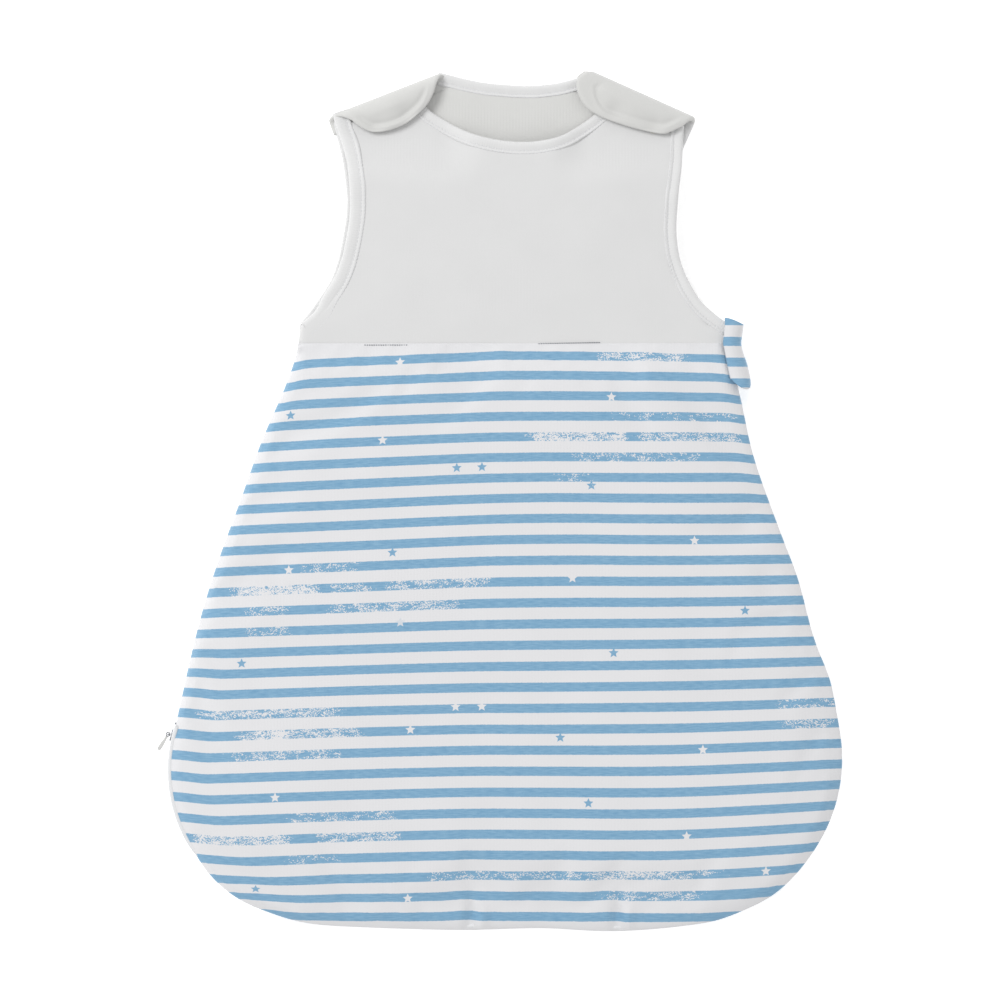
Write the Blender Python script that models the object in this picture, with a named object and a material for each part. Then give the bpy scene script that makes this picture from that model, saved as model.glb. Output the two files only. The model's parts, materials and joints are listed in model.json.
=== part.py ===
"""Baby sleeping bag, lying flat on its back: a padded skirt closed by a zip down one side and round the hem,
a thin yoke, and two padded shoulder straps that fold over from the back and close with press studs.
+X is to the wearer's left, +Y towards the neck, +Z up through the front. The back rests on z = 0.
In names, left and right are as seen from the front, so left is at -X.
Sizes below are in millimetres, and MM turns them to metres."""

import math

import bmesh
import bpy
from mathutils import Matrix, Vector

MM = 0.001
GAP = 0.3

# Heights of each layer, as (bottom, top)
BACK_SHELL = (0.0, 1.2)
BACK_WADDING = (1.5, 6.7)
BACK_LINING = (7.0, 8.0)
FRONT_LINING = (14.2, 15.2)
FRONT_WADDING = (15.5, 20.2)
FRONT_SHELL = (20.5, 22.0)
YOKE_BACK_SHELL = (0.0, 1.0)
YOKE_BACK_WADDING = (1.3, 3.5)
YOKE_BACK_LINING = (3.8, 4.6)
YOKE_FRONT_LINING = (14.2, 15.0)
YOKE_FRONT_WADDING = (15.3, 17.5)
YOKE_FRONT_SHELL = (17.8, 18.8)
BACK_BINDING = (0.0, 4.8)
FRONT_BINDING = (14.0, 18.9)

# The bound neck and armholes, and the set-back of the skirt's inner layers from its edge
BINDING_WIDTH = 9.5
LAYER_INSET = 4.0

# The front yoke drops onto the back where its tongues go under the straps
SHOULDER_DROP = 9.0
DROP_CENTRE_X = 8.0
DROP_X = (25.0, 55.0)
DROP_Y = (240.0, 280.0)
# Where the draped layers are cut so that they can bend
DRAPE_CUTS_Y = range(235, 290, 9)
DRAPE_CUTS_X = (-48, -38, -28, -18, 34, 44, 54, 64)

# Skirt outline, anticlockwise from the left end of the yoke's seam
SEAM_Y = 119.7
LEFT_SIDE = [(-156.8, SEAM_Y), (-164, 92), (-184, 46), (-200, 1), (-217, -45), (-231, -90), (-241.8, -135)]
LEFT_CENTRE, LEFT_RADIUS = (-144.1, -204.2), 111.1
LEFT_ARC = (160.0, 245.0)
HEM = [(-158.3, -317.2), (-125, -321.8), (-34, -324.8), (27, -323.2), (76, -325.8), (125, -323), (160, -317)]
RIGHT_CENTRE, RIGHT_RADIUS = (132.6, -195.5), 122.8
RIGHT_ARC = (-60.0, 14.0)
RIGHT_SIDE = [(246.2, -135.6), (233.5, -104), (222, -60), (210.6, -30), (188.6, 31), (179, 74)]
RIGHT_TOP = [(179, 74), (174.5, 95), (169, SEAM_Y)]
ARC_STEP = 5.0

# The two ends of the line that the front skirt folds up along when the zip is open
FOLD_LEFT, FOLD_RIGHT = (-249.5, -168.8), (179.0, 75.0)
FOLD_GAP = 1.2

# Yoke edges, from each underarm upwards, and the neck from one shoulder to the other
UNDERARM_LEFT, UNDERARM_RIGHT = (-155.3, 135.6), (171.2, 133.3)
ARMHOLE_LEFT_BACK = [UNDERARM_LEFT, (-133.3, 167), (-124, 197), (-120.5, 228), (-123.5, 258), (-128, 276.6)]
ARMHOLE_LEFT_FRONT = [UNDERARM_LEFT, (-131, 167), (-121, 197), (-117.5, 228), (-120.5, 258), (-126, 277.4)]
ARMHOLE_RIGHT_BACK = [UNDERARM_RIGHT, (147, 152), (131.5, 182), (128.5, 213), (132, 255), (139.2, 276)]
ARMHOLE_RIGHT_FRONT = [UNDERARM_RIGHT, (148.5, 152), (133.3, 182), (130.3, 213), (134, 252), (135.6, 276.8)]
NECK_FRONT = [(-62.5, 303), (-55.3, 295.5), (-39.6, 286), (-24, 278.8), (-4.8, 273.8), (13, 272.6),
              (30, 274), (46, 279), (65, 291.7), (77.5, 303.4)]
NECK_BACK = [(-45.4, 325.2), (-34, 322.3), (-19, 319), (-3.8, 317.2), (11.4, 316.3), (26.5, 316.5),
             (41.7, 318.6), (54, 321.8)]
BACK_NECK_CORNERS = ((-40.1, 311.4), (50.5, 310.0))
SEAM_START, SEAM_END = 160.0, 161.6

# Zip: tape, coil and the room in which the slider runs
TAPE = (-0.9, -0.3)
COIL = (-1.5, 0.3)
BACK_TAPE_Z, BACK_COIL_Z = (1.5, 8.6), (8.9, 10.7)
FRONT_COIL_Z, FRONT_TAPE_Z = (11.7, 13.5), (13.8, 20.2)
ZIP_MIDDLE_Z = 11.2
ZIP_START_ANGLE, ZIP_FLAP_ANGLE = 162.2, 169.8
STOP_LENGTH = 1.6

SLIDER_ANGLE = 166.4
SLIDER_LENGTH, SLIDER_HEIGHT = 9.0, 7.8
SLIDER_PLATES = ((-3.1, -1.9), (0.7, 1.9))
SLIDER_POST = 0.5
BAR_RADIUS, BAR_OUT, BAR_SPAN = 0.6, 3.9, 4.6
PULL_EYE_RADIUS, PULL_HOLE_RADIUS, PULL_HEIGHT = 1.9, 1.2, 3.2
PULL_LENGTH, PULL_THICKNESS = 14.0, 1.0
PULL_HEADING = 236.0

# Shoulder straps: the fold's outer end, the direction along the fold, and the free edge as (v, u) pairs,
# with u along the fold from its outer end and v inwards from it. A strap unrolls as it opens, so it turns
# about a line just outside its fold.
STRAP_BEND = 7.9
STRAP_PIVOT = -1.0
STRAP_SHELL = 0.9
STRAP_WADDING, STRAP_LINING, STRAP_BINDING = (13.5, 14.6), (12.6, 13.2), (12.6, 14.6)
STRAP_BINDING_WIDTH = 6.5
WALL_START, WALL_STEP = -70, 20
EDGE_START = 10.0
STRAPS = {
    "left": {
        "origin": (-128.0, 294.9),
        "along": (0.9320, 0.3625),
        "low": [(0, 0), (4, 6.5), (8, 8.2), (12, 10), (16, 12.5), (20, 15.8), (24, 20.5), (26.6, 29),
                (27.4, 36)],
        "high": [(0, 81), (4, 79.5), (8, 78), (12, 75), (16, 71), (20, 65.5), (24, 56.5), (26.6, 48),
                 (27.4, 42)],
        "poppers": ((24.0, 20.5), (50.0, 20.5)),
    },
    "right": {
        "origin": (72.0, 324.5),
        "along": (0.9127, -0.4087),
        "low": [(0, 0), (3, -9), (8, -14.6), (14, -13), (19, -10.5), (25, -4), (27.4, 0.5), (29, 6),
                (29.6, 12)],
        "high": [(0, 78), (5, 76.2), (10, 74), (14, 71), (19, 66.5), (23, 61), (27.4, 40), (29, 26),
                 (29.6, 18)],
        "poppers": ((22.0, 20.5), (54.0, 20.5)),
    },
}
STUD_FLANGE, STUD_POST = (10.2, 10.6), 12.0
STUD_RADIUS, POST_RADIUS = 4.5, 1.6
SOCKET_Z, SOCKET_HOLE = (10.9, 12.3), 2.1

# Zip guard: a loop of skirt cloth sewn over the zip's upper end. The profile is its inner face, as (x, z)
# from the bag's edge.
GUARD_Y = (83.0, 138.0)
GUARD_WALL = 1.2
GUARD_PROFILE = [(-4.0, 22.8), (2, 22.6), (7.5, 19.5), (9.0, 14), (9.0, 8), (7, 3.5), (2.5, 1.5)]

MATERIALS = {
    "print_jersey": ((0.62, 0.75, 0.86), 0.85, 0.0),
    "white_jersey": ((0.86, 0.86, 0.85), 0.85, 0.0),
    "lining_jersey": ((0.82, 0.82, 0.80), 0.88, 0.0),
    "wadding": ((0.93, 0.93, 0.92), 0.95, 0.0),
    "zip_tape": ((0.88, 0.88, 0.87), 0.80, 0.0),
    "zip_coil": ((0.90, 0.90, 0.89), 0.40, 0.0),
    "zip_metal": ((0.62, 0.62, 0.63), 0.35, 1.0),
    "popper_metal": ((0.75, 0.75, 0.76), 0.30, 1.0),
}


def ease(t):
    """Rises smoothly from 0 to 1 as t does."""
    t = min(1.0, max(0.0, t))
    return t * t * (3 - 2 * t)


def smooth(points, steps=3):
    """A Catmull-Rom line through the points, with this many steps between each two."""
    ends = [Vector(p) for p in points]
    ends = [2 * ends[0] - ends[1], *ends, 2 * ends[-1] - ends[-2]]
    line = []
    for a, b, c, d in zip(ends, ends[1:], ends[2:], ends[3:]):
        for i in range(steps):
            t = i / steps
            line.append(0.5 * (2 * b + (c - a) * t + (2 * a - 5 * b + 4 * c - d) * t**2
                               + (3 * b - a - 3 * c + d) * t**3))
    return [*line, ends[-2]]


def arc(centre, radius, start, end):
    """Points on an arc, from one angle to another in degrees."""
    steps = max(1, round(abs(end - start) / ARC_STEP))
    angles = [math.radians(start + (end - start) * i / steps) for i in range(steps + 1)]
    return [Vector(centre) + radius * Vector((math.cos(a), math.sin(a))) for a in angles]


def outward(path):
    """The unit normal at each point, to the right of the direction of travel."""
    normals = []
    for i in range(len(path)):
        along = path[min(i + 1, len(path) - 1)] - path[max(i - 1, 0)]
        normals.append(Vector((along.y, -along.x)).normalized())
    return normals


def offset(path, distance):
    """The path moved to the right of its direction of travel."""
    return [p + n * distance for p, n in zip(path, outward(path))]


def lower_path(start_angle):
    """The skirt's edge from this angle on the lower left corner, round the hem, to the fold's right end."""
    return [*arc(LEFT_CENTRE, LEFT_RADIUS, start_angle, LEFT_ARC[1]),
            *smooth(HEM, 2),
            *arc(RIGHT_CENTRE, RIGHT_RADIUS, *RIGHT_ARC),
            *smooth(RIGHT_SIDE, 3)]


def skirt_outline():
    return [*smooth(LEFT_SIDE, 2), *lower_path(LEFT_ARC[0]), *smooth(RIGHT_TOP, 2)[1:]]


def drop_at(x, y):
    """How far the front yoke has come down at this place."""
    across = ease((abs(x - DROP_CENTRE_X) - DROP_X[0]) / (DROP_X[1] - DROP_X[0]))
    return SHOULDER_DROP * across * ease((y - DROP_Y[0]) / (DROP_Y[1] - DROP_Y[0]))


def clear_scene():
    for thing in list(bpy.data.objects):
        bpy.data.objects.remove(thing, do_unlink=True)


def make_material(name):
    """One shared material for each finish."""
    found = bpy.data.materials.get(name)
    if found:
        return found
    colour, roughness, metallic = MATERIALS[name]
    material = bpy.data.materials.new(name)
    material.use_nodes = True
    shader = material.node_tree.nodes["Principled BSDF"]
    shader.inputs["Base Color"].default_value = (*colour, 1)
    shader.inputs["Roughness"].default_value = roughness
    shader.inputs["Metallic"].default_value = metallic
    return material


def finish(bm, name, material, origin=None, drape=False):
    """Turns a bmesh in millimetres into a named object in metres. Its origin is given in millimetres too."""
    if drape:
        for vert in bm.verts:
            vert.co.z -= drop_at(vert.co.x, vert.co.y)
    bmesh.ops.recalc_face_normals(bm, faces=bm.faces)
    place = Vector(origin or (0, 0, 0))
    bmesh.ops.transform(bm, matrix=Matrix.Scale(MM, 4) @ Matrix.Translation(-place), verts=bm.verts)
    mesh = bpy.data.meshes.new(name)
    bm.to_mesh(mesh)
    bm.free()
    mesh.materials.append(make_material(material))
    made = bpy.data.objects.new(name, mesh)
    made.location = place * MM
    bpy.context.scene.collection.objects.link(made)
    return made


def cut(bm, point, normal, keep_all=False):
    """Cuts a flat face by an upright plane, and keeps the side that the normal points away from."""
    bmesh.ops.bisect_plane(
        bm, geom=[*bm.verts, *bm.edges, *bm.faces], dist=1e-5,
        plane_co=(*point, 0), plane_no=(*normal, 0), clear_outer=not keep_all,
    )


def panel(name, outline, heights, material, inset=0.0, fold_side=0, drape=False):
    """A flat layer. fold_side keeps the part above (1) or below (-1) the fold line."""
    bm = bmesh.new()
    face = bm.faces.new([bm.verts.new((*p, 0)) for p in outline])
    face.normal_update()
    if inset:
        ring = bmesh.ops.inset_region(
            bm, faces=[face], thickness=inset, use_boundary=True, use_even_offset=True)
        bmesh.ops.delete(bm, geom=ring["faces"], context="FACES")
    if fold_side:
        along = (Vector(FOLD_RIGHT) - Vector(FOLD_LEFT)).normalized()
        below = Vector((along.y, -along.x)) * fold_side
        cut(bm, Vector(FOLD_LEFT) - below * FOLD_GAP / 2, below)
    if drape:
        for y in DRAPE_CUTS_Y:
            cut(bm, (0, y), (0, 1), keep_all=True)
        for x in DRAPE_CUTS_X:
            cut(bm, (x, 0), (1, 0), keep_all=True)
    bmesh.ops.triangulate(bm, faces=bm.faces)
    for vert in bm.verts:
        vert.co.z = heights[0]
    grown = bmesh.ops.extrude_face_region(bm, geom=list(bm.faces), use_keep_orig=True)
    for item in grown["geom"]:
        if isinstance(item, bmesh.types.BMVert):
            item.co.z = heights[1]
    return finish(bm, name, material, drape=drape)


def strip(name, path, across, heights, material, drape=False):
    """A band of rectangular section along a path. heights is one pair, or one pair for each point."""
    bm = bmesh.new()
    pairs = heights if isinstance(heights, list) else [heights] * len(path)
    rings = []
    for p, n, (low, high) in zip(path, outward(path), pairs):
        inner, outer = p + n * across[0], p + n * across[1]
        corners = ((*inner, low), (*outer, low), (*outer, high), (*inner, high))
        rings.append([bm.verts.new(c) for c in corners])
    for a, b in zip(rings, rings[1:]):
        for i in range(4):
            bm.faces.new((a[i], a[(i + 1) % 4], b[(i + 1) % 4], b[i]))
    bm.faces.new(rings[0])
    bm.faces.new(rings[-1])
    return finish(bm, name, material, drape=drape)


def thick_grid(name, outer, inner, material, origin):
    """A closed sheet between two grids of points."""
    bm = bmesh.new()
    top = [[bm.verts.new(p) for p in row] for row in outer]
    low = [[bm.verts.new(p) for p in row] for row in inner]
    rows, columns = len(top), len(top[0])
    for i in range(rows - 1):
        for j in range(columns - 1):
            for grid in (top, low):
                bm.faces.new((grid[i][j], grid[i + 1][j], grid[i + 1][j + 1], grid[i][j + 1]))
    rim = [(i, 0) for i in range(rows)] + [(rows - 1, j) for j in range(1, columns)]
    rim += [(i, columns - 1) for i in range(rows - 2, -1, -1)] + [(0, j) for j in range(columns - 2, 0, -1)]
    for (i, j), (k, m) in zip(rim, rim[1:] + rim[:1]):
        bm.faces.new((top[i][j], top[k][m], low[k][m], low[i][j]))
    return finish(bm, name, material, origin=origin)


def join(base, tool, operation):
    """Applies a Boolean by a second object to a first one, and removes the second."""
    modifier = base.modifiers.new(operation.title(), "BOOLEAN")
    modifier.operation = operation
    modifier.object = tool
    graph = bpy.context.evaluated_depsgraph_get()
    mesh = bpy.data.meshes.new_from_object(base.evaluated_get(graph))
    base.modifiers.clear()
    base.data = mesh
    bpy.data.objects.remove(tool, do_unlink=True)


def build_skirt():
    """Back and front of the skirt: shell, wadding and lining, with the front in two parts at its fold."""
    outline = skirt_outline()
    panel("back_skirt_shell", outline, BACK_SHELL, "print_jersey")
    panel("back_skirt_wadding", outline, BACK_WADDING, "wadding", LAYER_INSET)
    panel("back_skirt_lining", outline, BACK_LINING, "lining_jersey", LAYER_INSET)
    for part, side in (("upper", 1), ("lower", -1)):
        panel(f"front_skirt_{part}_shell", outline, FRONT_SHELL, "print_jersey", fold_side=side)
        panel(f"front_skirt_{part}_wadding", outline, FRONT_WADDING, "wadding", LAYER_INSET, side)
        panel(f"front_skirt_{part}_lining", outline, FRONT_LINING, "lining_jersey", LAYER_INSET, side)


def bound_edge(name, points, heights, side, drape=False):
    """A binding along an edge, and the line that the layers beside it stop at."""
    path = smooth(points, 2)
    strip(name, path, (0.0, side * BINDING_WIDTH), heights, "white_jersey", drape)
    return offset(path, side * (BINDING_WIDTH + GAP))


def yoke_outline(left, right, neck):
    """Closed outline of the yoke's layers, inside its bindings and just above the seam."""
    seam_left, seam_right = (LEFT_SIDE[0][0], SEAM_Y + GAP), (RIGHT_TOP[-1][0], SEAM_Y + GAP)
    return [Vector(p) for p in (seam_left, *left, *neck, *reversed(right), seam_right)]


def build_yoke():
    """Back and front yoke with their bound armholes and necks."""
    left = bound_edge("armhole_binding_back_left", ARMHOLE_LEFT_BACK, BACK_BINDING, 1)
    right = bound_edge("armhole_binding_back_right", ARMHOLE_RIGHT_BACK, BACK_BINDING, -1)
    neck = bound_edge("neck_binding_back", NECK_BACK, BACK_BINDING, 1)
    first, last = BACK_NECK_CORNERS
    neck = [first, *[p for p in neck if first[0] < p.x < last[0] - 1], last]
    outline = yoke_outline(left, right, neck)
    panel("back_yoke_shell", outline, YOKE_BACK_SHELL, "white_jersey")
    panel("back_yoke_wadding", outline, YOKE_BACK_WADDING, "wadding")
    panel("back_yoke_lining", outline, YOKE_BACK_LINING, "lining_jersey")
    left = bound_edge("armhole_binding_front_left", ARMHOLE_LEFT_FRONT, FRONT_BINDING, 1, True)
    right = bound_edge("armhole_binding_front_right", ARMHOLE_RIGHT_FRONT, FRONT_BINDING, -1, True)
    neck = bound_edge("neck_binding_front", NECK_FRONT, FRONT_BINDING, 1, True)
    outline = yoke_outline(left, right, neck)
    panel("front_yoke_shell", outline, YOKE_FRONT_SHELL, "white_jersey", drape=True)
    panel("front_yoke_wadding", outline, YOKE_FRONT_WADDING, "wadding", drape=True)
    panel("front_yoke_lining", outline, YOKE_FRONT_LINING, "lining_jersey", drape=True)


def side_heights(path):
    """The side seams are as high as the skirt's filling, and lower beside the thin yoke."""
    skirt = (BACK_TAPE_Z[0], FRONT_TAPE_Z[1])
    yoke = (YOKE_BACK_LINING[1] + GAP, YOKE_FRONT_LINING[0] - 2 * GAP)
    pairs = []
    for p in path:
        beside_yoke = ease((p.y - (SEAM_Y - 12)) / 10)
        pairs.append(tuple(a + (b - a) * beside_yoke for a, b in zip(skirt, yoke)))
    return pairs


def build_side_seams():
    """The closed stretches of the sides, from each underarm to the zip's two ends."""
    above = [Vector((UNDERARM_LEFT[0], UNDERARM_LEFT[1] - 1))]
    left = above + smooth(LEFT_SIDE, 2) + arc(LEFT_CENTRE, LEFT_RADIUS, SEAM_START, SEAM_END)
    strip("side_seam_left", left, (-1.5, -0.3), side_heights(left), "white_jersey")
    right = smooth(RIGHT_TOP, 3)[1:] + [Vector((UNDERARM_RIGHT[0] - 0.6, UNDERARM_RIGHT[1] - 1))]
    strip("side_seam_right", right, (-1.5, -0.3), side_heights(right), "white_jersey")


def build_zip():
    """Tapes and coils. The front ones stop short of the slider, where a fixed end piece takes over."""
    whole = lower_path(ZIP_START_ANGLE)
    flap = lower_path(ZIP_FLAP_ANGLE)
    end = arc(LEFT_CENTRE, LEFT_RADIUS, ZIP_START_ANGLE, ZIP_FLAP_ANGLE - 0.4)
    strip("zip_tape_back", whole, TAPE, BACK_TAPE_Z, "zip_tape")
    strip("zip_coil_back", whole, COIL, BACK_COIL_Z, "zip_coil")
    strip("zip_tape_front", flap, TAPE, FRONT_TAPE_Z, "zip_tape")
    strip("zip_coil_front", flap, COIL, FRONT_COIL_Z, "zip_coil")
    strip("zip_tape_front_end", end, TAPE, FRONT_TAPE_Z, "zip_tape")
    strip("zip_coil_front_end", end, COIL, FRONT_COIL_Z, "zip_coil")
    before = math.degrees(STOP_LENGTH / LEFT_RADIUS)
    stop = arc(LEFT_CENTRE, LEFT_RADIUS, ZIP_START_ANGLE - before - 0.2, ZIP_START_ANGLE - 0.2)
    strip("zip_end_stop", stop, (-0.1, 1.2), (9.2, 13.2), "zip_metal")


def slider_frame():
    """Turns (out, along, up) millimetres at the slider into the bag's own axes."""
    angle = math.radians(SLIDER_ANGLE)
    out = Vector((math.cos(angle), math.sin(angle), 0))
    along = Vector((-out.y, out.x, 0))
    place = Vector((*LEFT_CENTRE, ZIP_MIDDLE_Z)) + out * LEFT_RADIUS
    frame = Matrix.Identity(4)
    for column, axis in enumerate((out, along, Vector((0, 0, 1)))):
        frame.col[column] = (*axis, 0)
    frame.col[3] = (*place, 1)
    return frame


def block(bm, low, high):
    """A box between two corners."""
    made = bmesh.ops.create_cube(bm, size=1)
    size = [b - a for a, b in zip(low, high)]
    middle = [(a + b) / 2 for a, b in zip(low, high)]
    bmesh.ops.scale(bm, vec=size, verts=made["verts"])
    bmesh.ops.translate(bm, vec=middle, verts=made["verts"])


def build_slider():
    """The slider's two plates round the coils, its post between them, and the bar for the pull."""
    half, tall = SLIDER_LENGTH / 2, SLIDER_HEIGHT / 2
    (inner, plate_in), (plate_out, outer) = SLIDER_PLATES
    post = SLIDER_POST / 2
    section = [(inner, -tall), (plate_in, -tall), (plate_in, -post), (plate_out, -post), (plate_out, -tall),
               (outer, -tall), (outer, tall), (plate_out, tall), (plate_out, post), (plate_in, post),
               (plate_in, tall), (inner, tall)]
    bm = bmesh.new()
    face = bm.faces.new([bm.verts.new((out, -half, up)) for out, up in section])
    grown = bmesh.ops.extrude_face_region(bm, geom=[face], use_keep_orig=True)
    verts = [v for v in grown["geom"] if isinstance(v, bmesh.types.BMVert)]
    bmesh.ops.translate(bm, vec=(0, SLIDER_LENGTH, 0), verts=verts)
    bmesh.ops.transform(bm, matrix=slider_frame(), verts=bm.verts)
    centre = (*LEFT_CENTRE, ZIP_MIDDLE_Z)
    slider = finish(bm, "zip_slider", "zip_metal", origin=centre)
    bm = bmesh.new()
    lug = BAR_SPAN / 2
    outline = [(outer - 0.4, -lug), (BAR_OUT, -lug), (BAR_OUT + BAR_RADIUS, -lug + BAR_RADIUS),
               (BAR_OUT + BAR_RADIUS, lug - BAR_RADIUS), (BAR_OUT, lug), (outer - 0.4, lug),
               (outer - 0.4, lug - BAR_RADIUS), (BAR_OUT - BAR_RADIUS, lug - BAR_RADIUS),
               (BAR_OUT - BAR_RADIUS, -lug + BAR_RADIUS), (outer - 0.4, -lug + BAR_RADIUS)]
    face = bm.faces.new([bm.verts.new((out, -BAR_RADIUS, up)) for out, up in outline])
    grown = bmesh.ops.extrude_face_region(bm, geom=[face], use_keep_orig=True)
    verts = [v for v in grown["geom"] if isinstance(v, bmesh.types.BMVert)]
    bmesh.ops.translate(bm, vec=(0, 2 * BAR_RADIUS, 0), verts=verts)
    bmesh.ops.transform(bm, matrix=slider_frame(), verts=bm.verts)
    join(slider, finish(bm, "bar", "zip_metal", origin=centre), "UNION")


def build_pull():
    """The pull: an upright tab whose eye turns round the slider's bar."""
    pivot = slider_frame() @ Vector((BAR_OUT, 0, 0))
    heading = math.radians(PULL_HEADING)
    turn = Matrix.Translation(pivot) @ Matrix.Rotation(heading, 4, "Z")
    low, high = -PULL_HEIGHT / 2, PULL_HEIGHT / 2
    bm = bmesh.new()
    sides = 20
    rings = []
    for radius in (PULL_HOLE_RADIUS, PULL_EYE_RADIUS):
        for z in (low, high):
            points = [(radius * math.cos(math.tau * i / sides), radius * math.sin(math.tau * i / sides), z)
                      for i in range(sides)]
            rings.append([bm.verts.new(p) for p in points])
    inner_low, inner_high, outer_low, outer_high = rings
    round_trip = (inner_low, inner_high, outer_high, outer_low, inner_low)
    for a, b in zip(round_trip, round_trip[1:]):
        for i in range(sides):
            bm.faces.new((a[i], a[(i + 1) % sides], b[(i + 1) % sides], b[i]))
    bmesh.ops.transform(bm, matrix=turn, verts=bm.verts)
    pull = finish(bm, "zip_pull", "zip_metal", origin=pivot)
    bm = bmesh.new()
    half = PULL_THICKNESS / 2
    block(bm, (PULL_EYE_RADIUS - 0.4, -half, low), (PULL_LENGTH, half, high))
    bmesh.ops.transform(bm, matrix=turn, verts=bm.verts)
    join(pull, finish(bm, "tab", "zip_metal", origin=pivot), "UNION")


def branch(points, v):
    """u on one side of a strap's free edge at this v."""
    for (v0, u0), (v1, u1) in zip(points, points[1:]):
        if v <= v1:
            return u0 + (u1 - u0) * (v - v0) / (v1 - v0)
    return points[-1][1]


def strap_point(strap, u, v, z):
    """A place on a strap, from its own axes to the bag's."""
    along = Vector(strap["along"])
    inward = Vector((along.y, -along.x))
    return Vector((*(Vector(strap["origin"]) + along * u + inward * v), z))


def build_strap(side):
    """A strap closed over the front: its shell goes round the shoulder, and the rest lies in its flap."""
    strap = STRAPS[side]
    origin = strap_point(strap, 0, STRAP_PIVOT, STRAP_BEND)
    depth = strap["low"][-1][0]
    top = 2 * STRAP_BEND
    outer, inner = [], []
    rows = [(math.radians(a), None) for a in range(WALL_START, 91, WALL_STEP)]
    rows += [(None, v) for v in (12, 16, 20, 24, 0.97 * depth, depth)]
    columns = [i / 8 for i in range(9)]
    for angle, v in rows:
        if v is None:
            reach = STRAP_BEND * (1 - math.cos(angle))
            places = [(STRAP_BEND - r * math.cos(angle), STRAP_BEND + r * math.sin(angle))
                      for r in (STRAP_BEND, STRAP_BEND - STRAP_SHELL)]
        else:
            reach = v
            places = [(v, top), (v, top - STRAP_SHELL)]
        low, high = branch(strap["low"], reach), branch(strap["high"], reach)
        for grid, (at_v, at_z) in zip((outer, inner), places):
            grid.append([strap_point(strap, low + (high - low) * c, at_v, at_z) for c in columns])
    thick_grid(f"strap_{side}_shell", outer, inner, "white_jersey", origin)
    edge = [(branch(strap["low"], EDGE_START), EDGE_START)]
    edge += [(u, v) for v, u in strap["low"] if v > EDGE_START]
    edge += [(u, v) for v, u in reversed(strap["high"]) if v > EDGE_START]
    edge.append((branch(strap["high"], EDGE_START), EDGE_START))
    to_plan = [strap_point(strap, p.x, p.y, 0).xy for p in smooth(edge, 2)]
    strip(f"strap_{side}_binding", to_plan, (-STRAP_BINDING_WIDTH, 0.0), STRAP_BINDING, "white_jersey")
    filling = offset(to_plan, -STRAP_BINDING_WIDTH - GAP)
    panel(f"strap_{side}_wadding", filling, STRAP_WADDING, "wadding")
    panel(f"strap_{side}_lining", filling, STRAP_LINING, "lining_jersey")


def turned(name, profile, place, material, sides=20):
    """A ring or disc turned round an upright axis from a closed profile of (radius, z)."""
    bm = bmesh.new()
    rings = []
    for radius, z in profile:
        if radius == 0:
            rings.append([bm.verts.new((*place, z))] * sides)
            continue
        angles = [math.tau * i / sides for i in range(sides)]
        rings.append([bm.verts.new((place[0] + radius * math.cos(a), place[1] + radius * math.sin(a), z))
                      for a in angles])
    closed = profile[0][0] > 0
    for a, b in zip(rings, rings[1:] + rings[:1] if closed else rings[1:]):
        for i in range(sides):
            corners = [a[i], a[(i + 1) % sides], b[(i + 1) % sides], b[i]]
            bm.faces.new(list(dict.fromkeys(corners)))
    made = finish(bm, name, material, origin=(*place, profile[0][1]))
    made.data.shade_smooth()
    made.data.set_sharp_from_angle(angle=math.radians(40))
    return made


def build_poppers(side):
    """Press studs: a stud on the front yoke's tongue and a socket under the strap, at two places."""
    strap = STRAPS[side]
    low, high = SOCKET_Z
    for place, (u, v) in zip(("inner", "outer") if side == "right" else ("outer", "inner"), strap["poppers"]):
        at = tuple(strap_point(strap, u, v, 0).xy)
        stud = [(0, STUD_FLANGE[0]), (STUD_RADIUS, STUD_FLANGE[0]), (STUD_RADIUS, STUD_FLANGE[1]),
                (POST_RADIUS, STUD_FLANGE[1]), (POST_RADIUS, STUD_POST), (0, STUD_POST)]
        turned(f"popper_stud_{side}_{place}", stud, at, "popper_metal")
        ring = [(SOCKET_HOLE, low), (STUD_RADIUS, low), (STUD_RADIUS, high), (SOCKET_HOLE, high)]
        turned(f"popper_socket_{side}_{place}", ring, at, "popper_metal")


def build_guard():
    """The loop of cloth over the zip's upper end, from the front's edge round to the back's."""
    line = smooth([*RIGHT_TOP[1:], UNDERARM_RIGHT], 3)
    stations = [GUARD_Y[0] + (GUARD_Y[1] - GUARD_Y[0]) * i / 5 for i in range(6)]
    inside = [Vector(p) for p in GUARD_PROFILE]
    outside = offset(inside, -GUARD_WALL)
    outer, inner = [], []
    for y in stations:
        nearest = min(line, key=lambda p: abs(p.y - y))
        for grid, points in ((outer, outside), (inner, inside)):
            grid.append([(nearest.x + p.x, y, p.y) for p in points])
    thick_grid("zip_guard", outer, inner, "print_jersey", None)


def main():
    clear_scene()
    build_skirt()
    build_yoke()
    build_side_seams()
    build_zip()
    build_slider()
    build_pull()
    for side in STRAPS:
        build_strap(side)
        build_poppers(side)
    build_guard()


main()
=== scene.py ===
"""Baby sleeping bag, finished: padded and printed cloth, bound edges, zip, straps and press studs, made
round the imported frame. Lengths in this file are in millimetres, and MM turns them to metres."""

import json
import math

import bmesh
import bpy
import numpy as np
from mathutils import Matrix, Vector, noise
from mathutils.geometry import delaunay_2d_cdt


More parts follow.
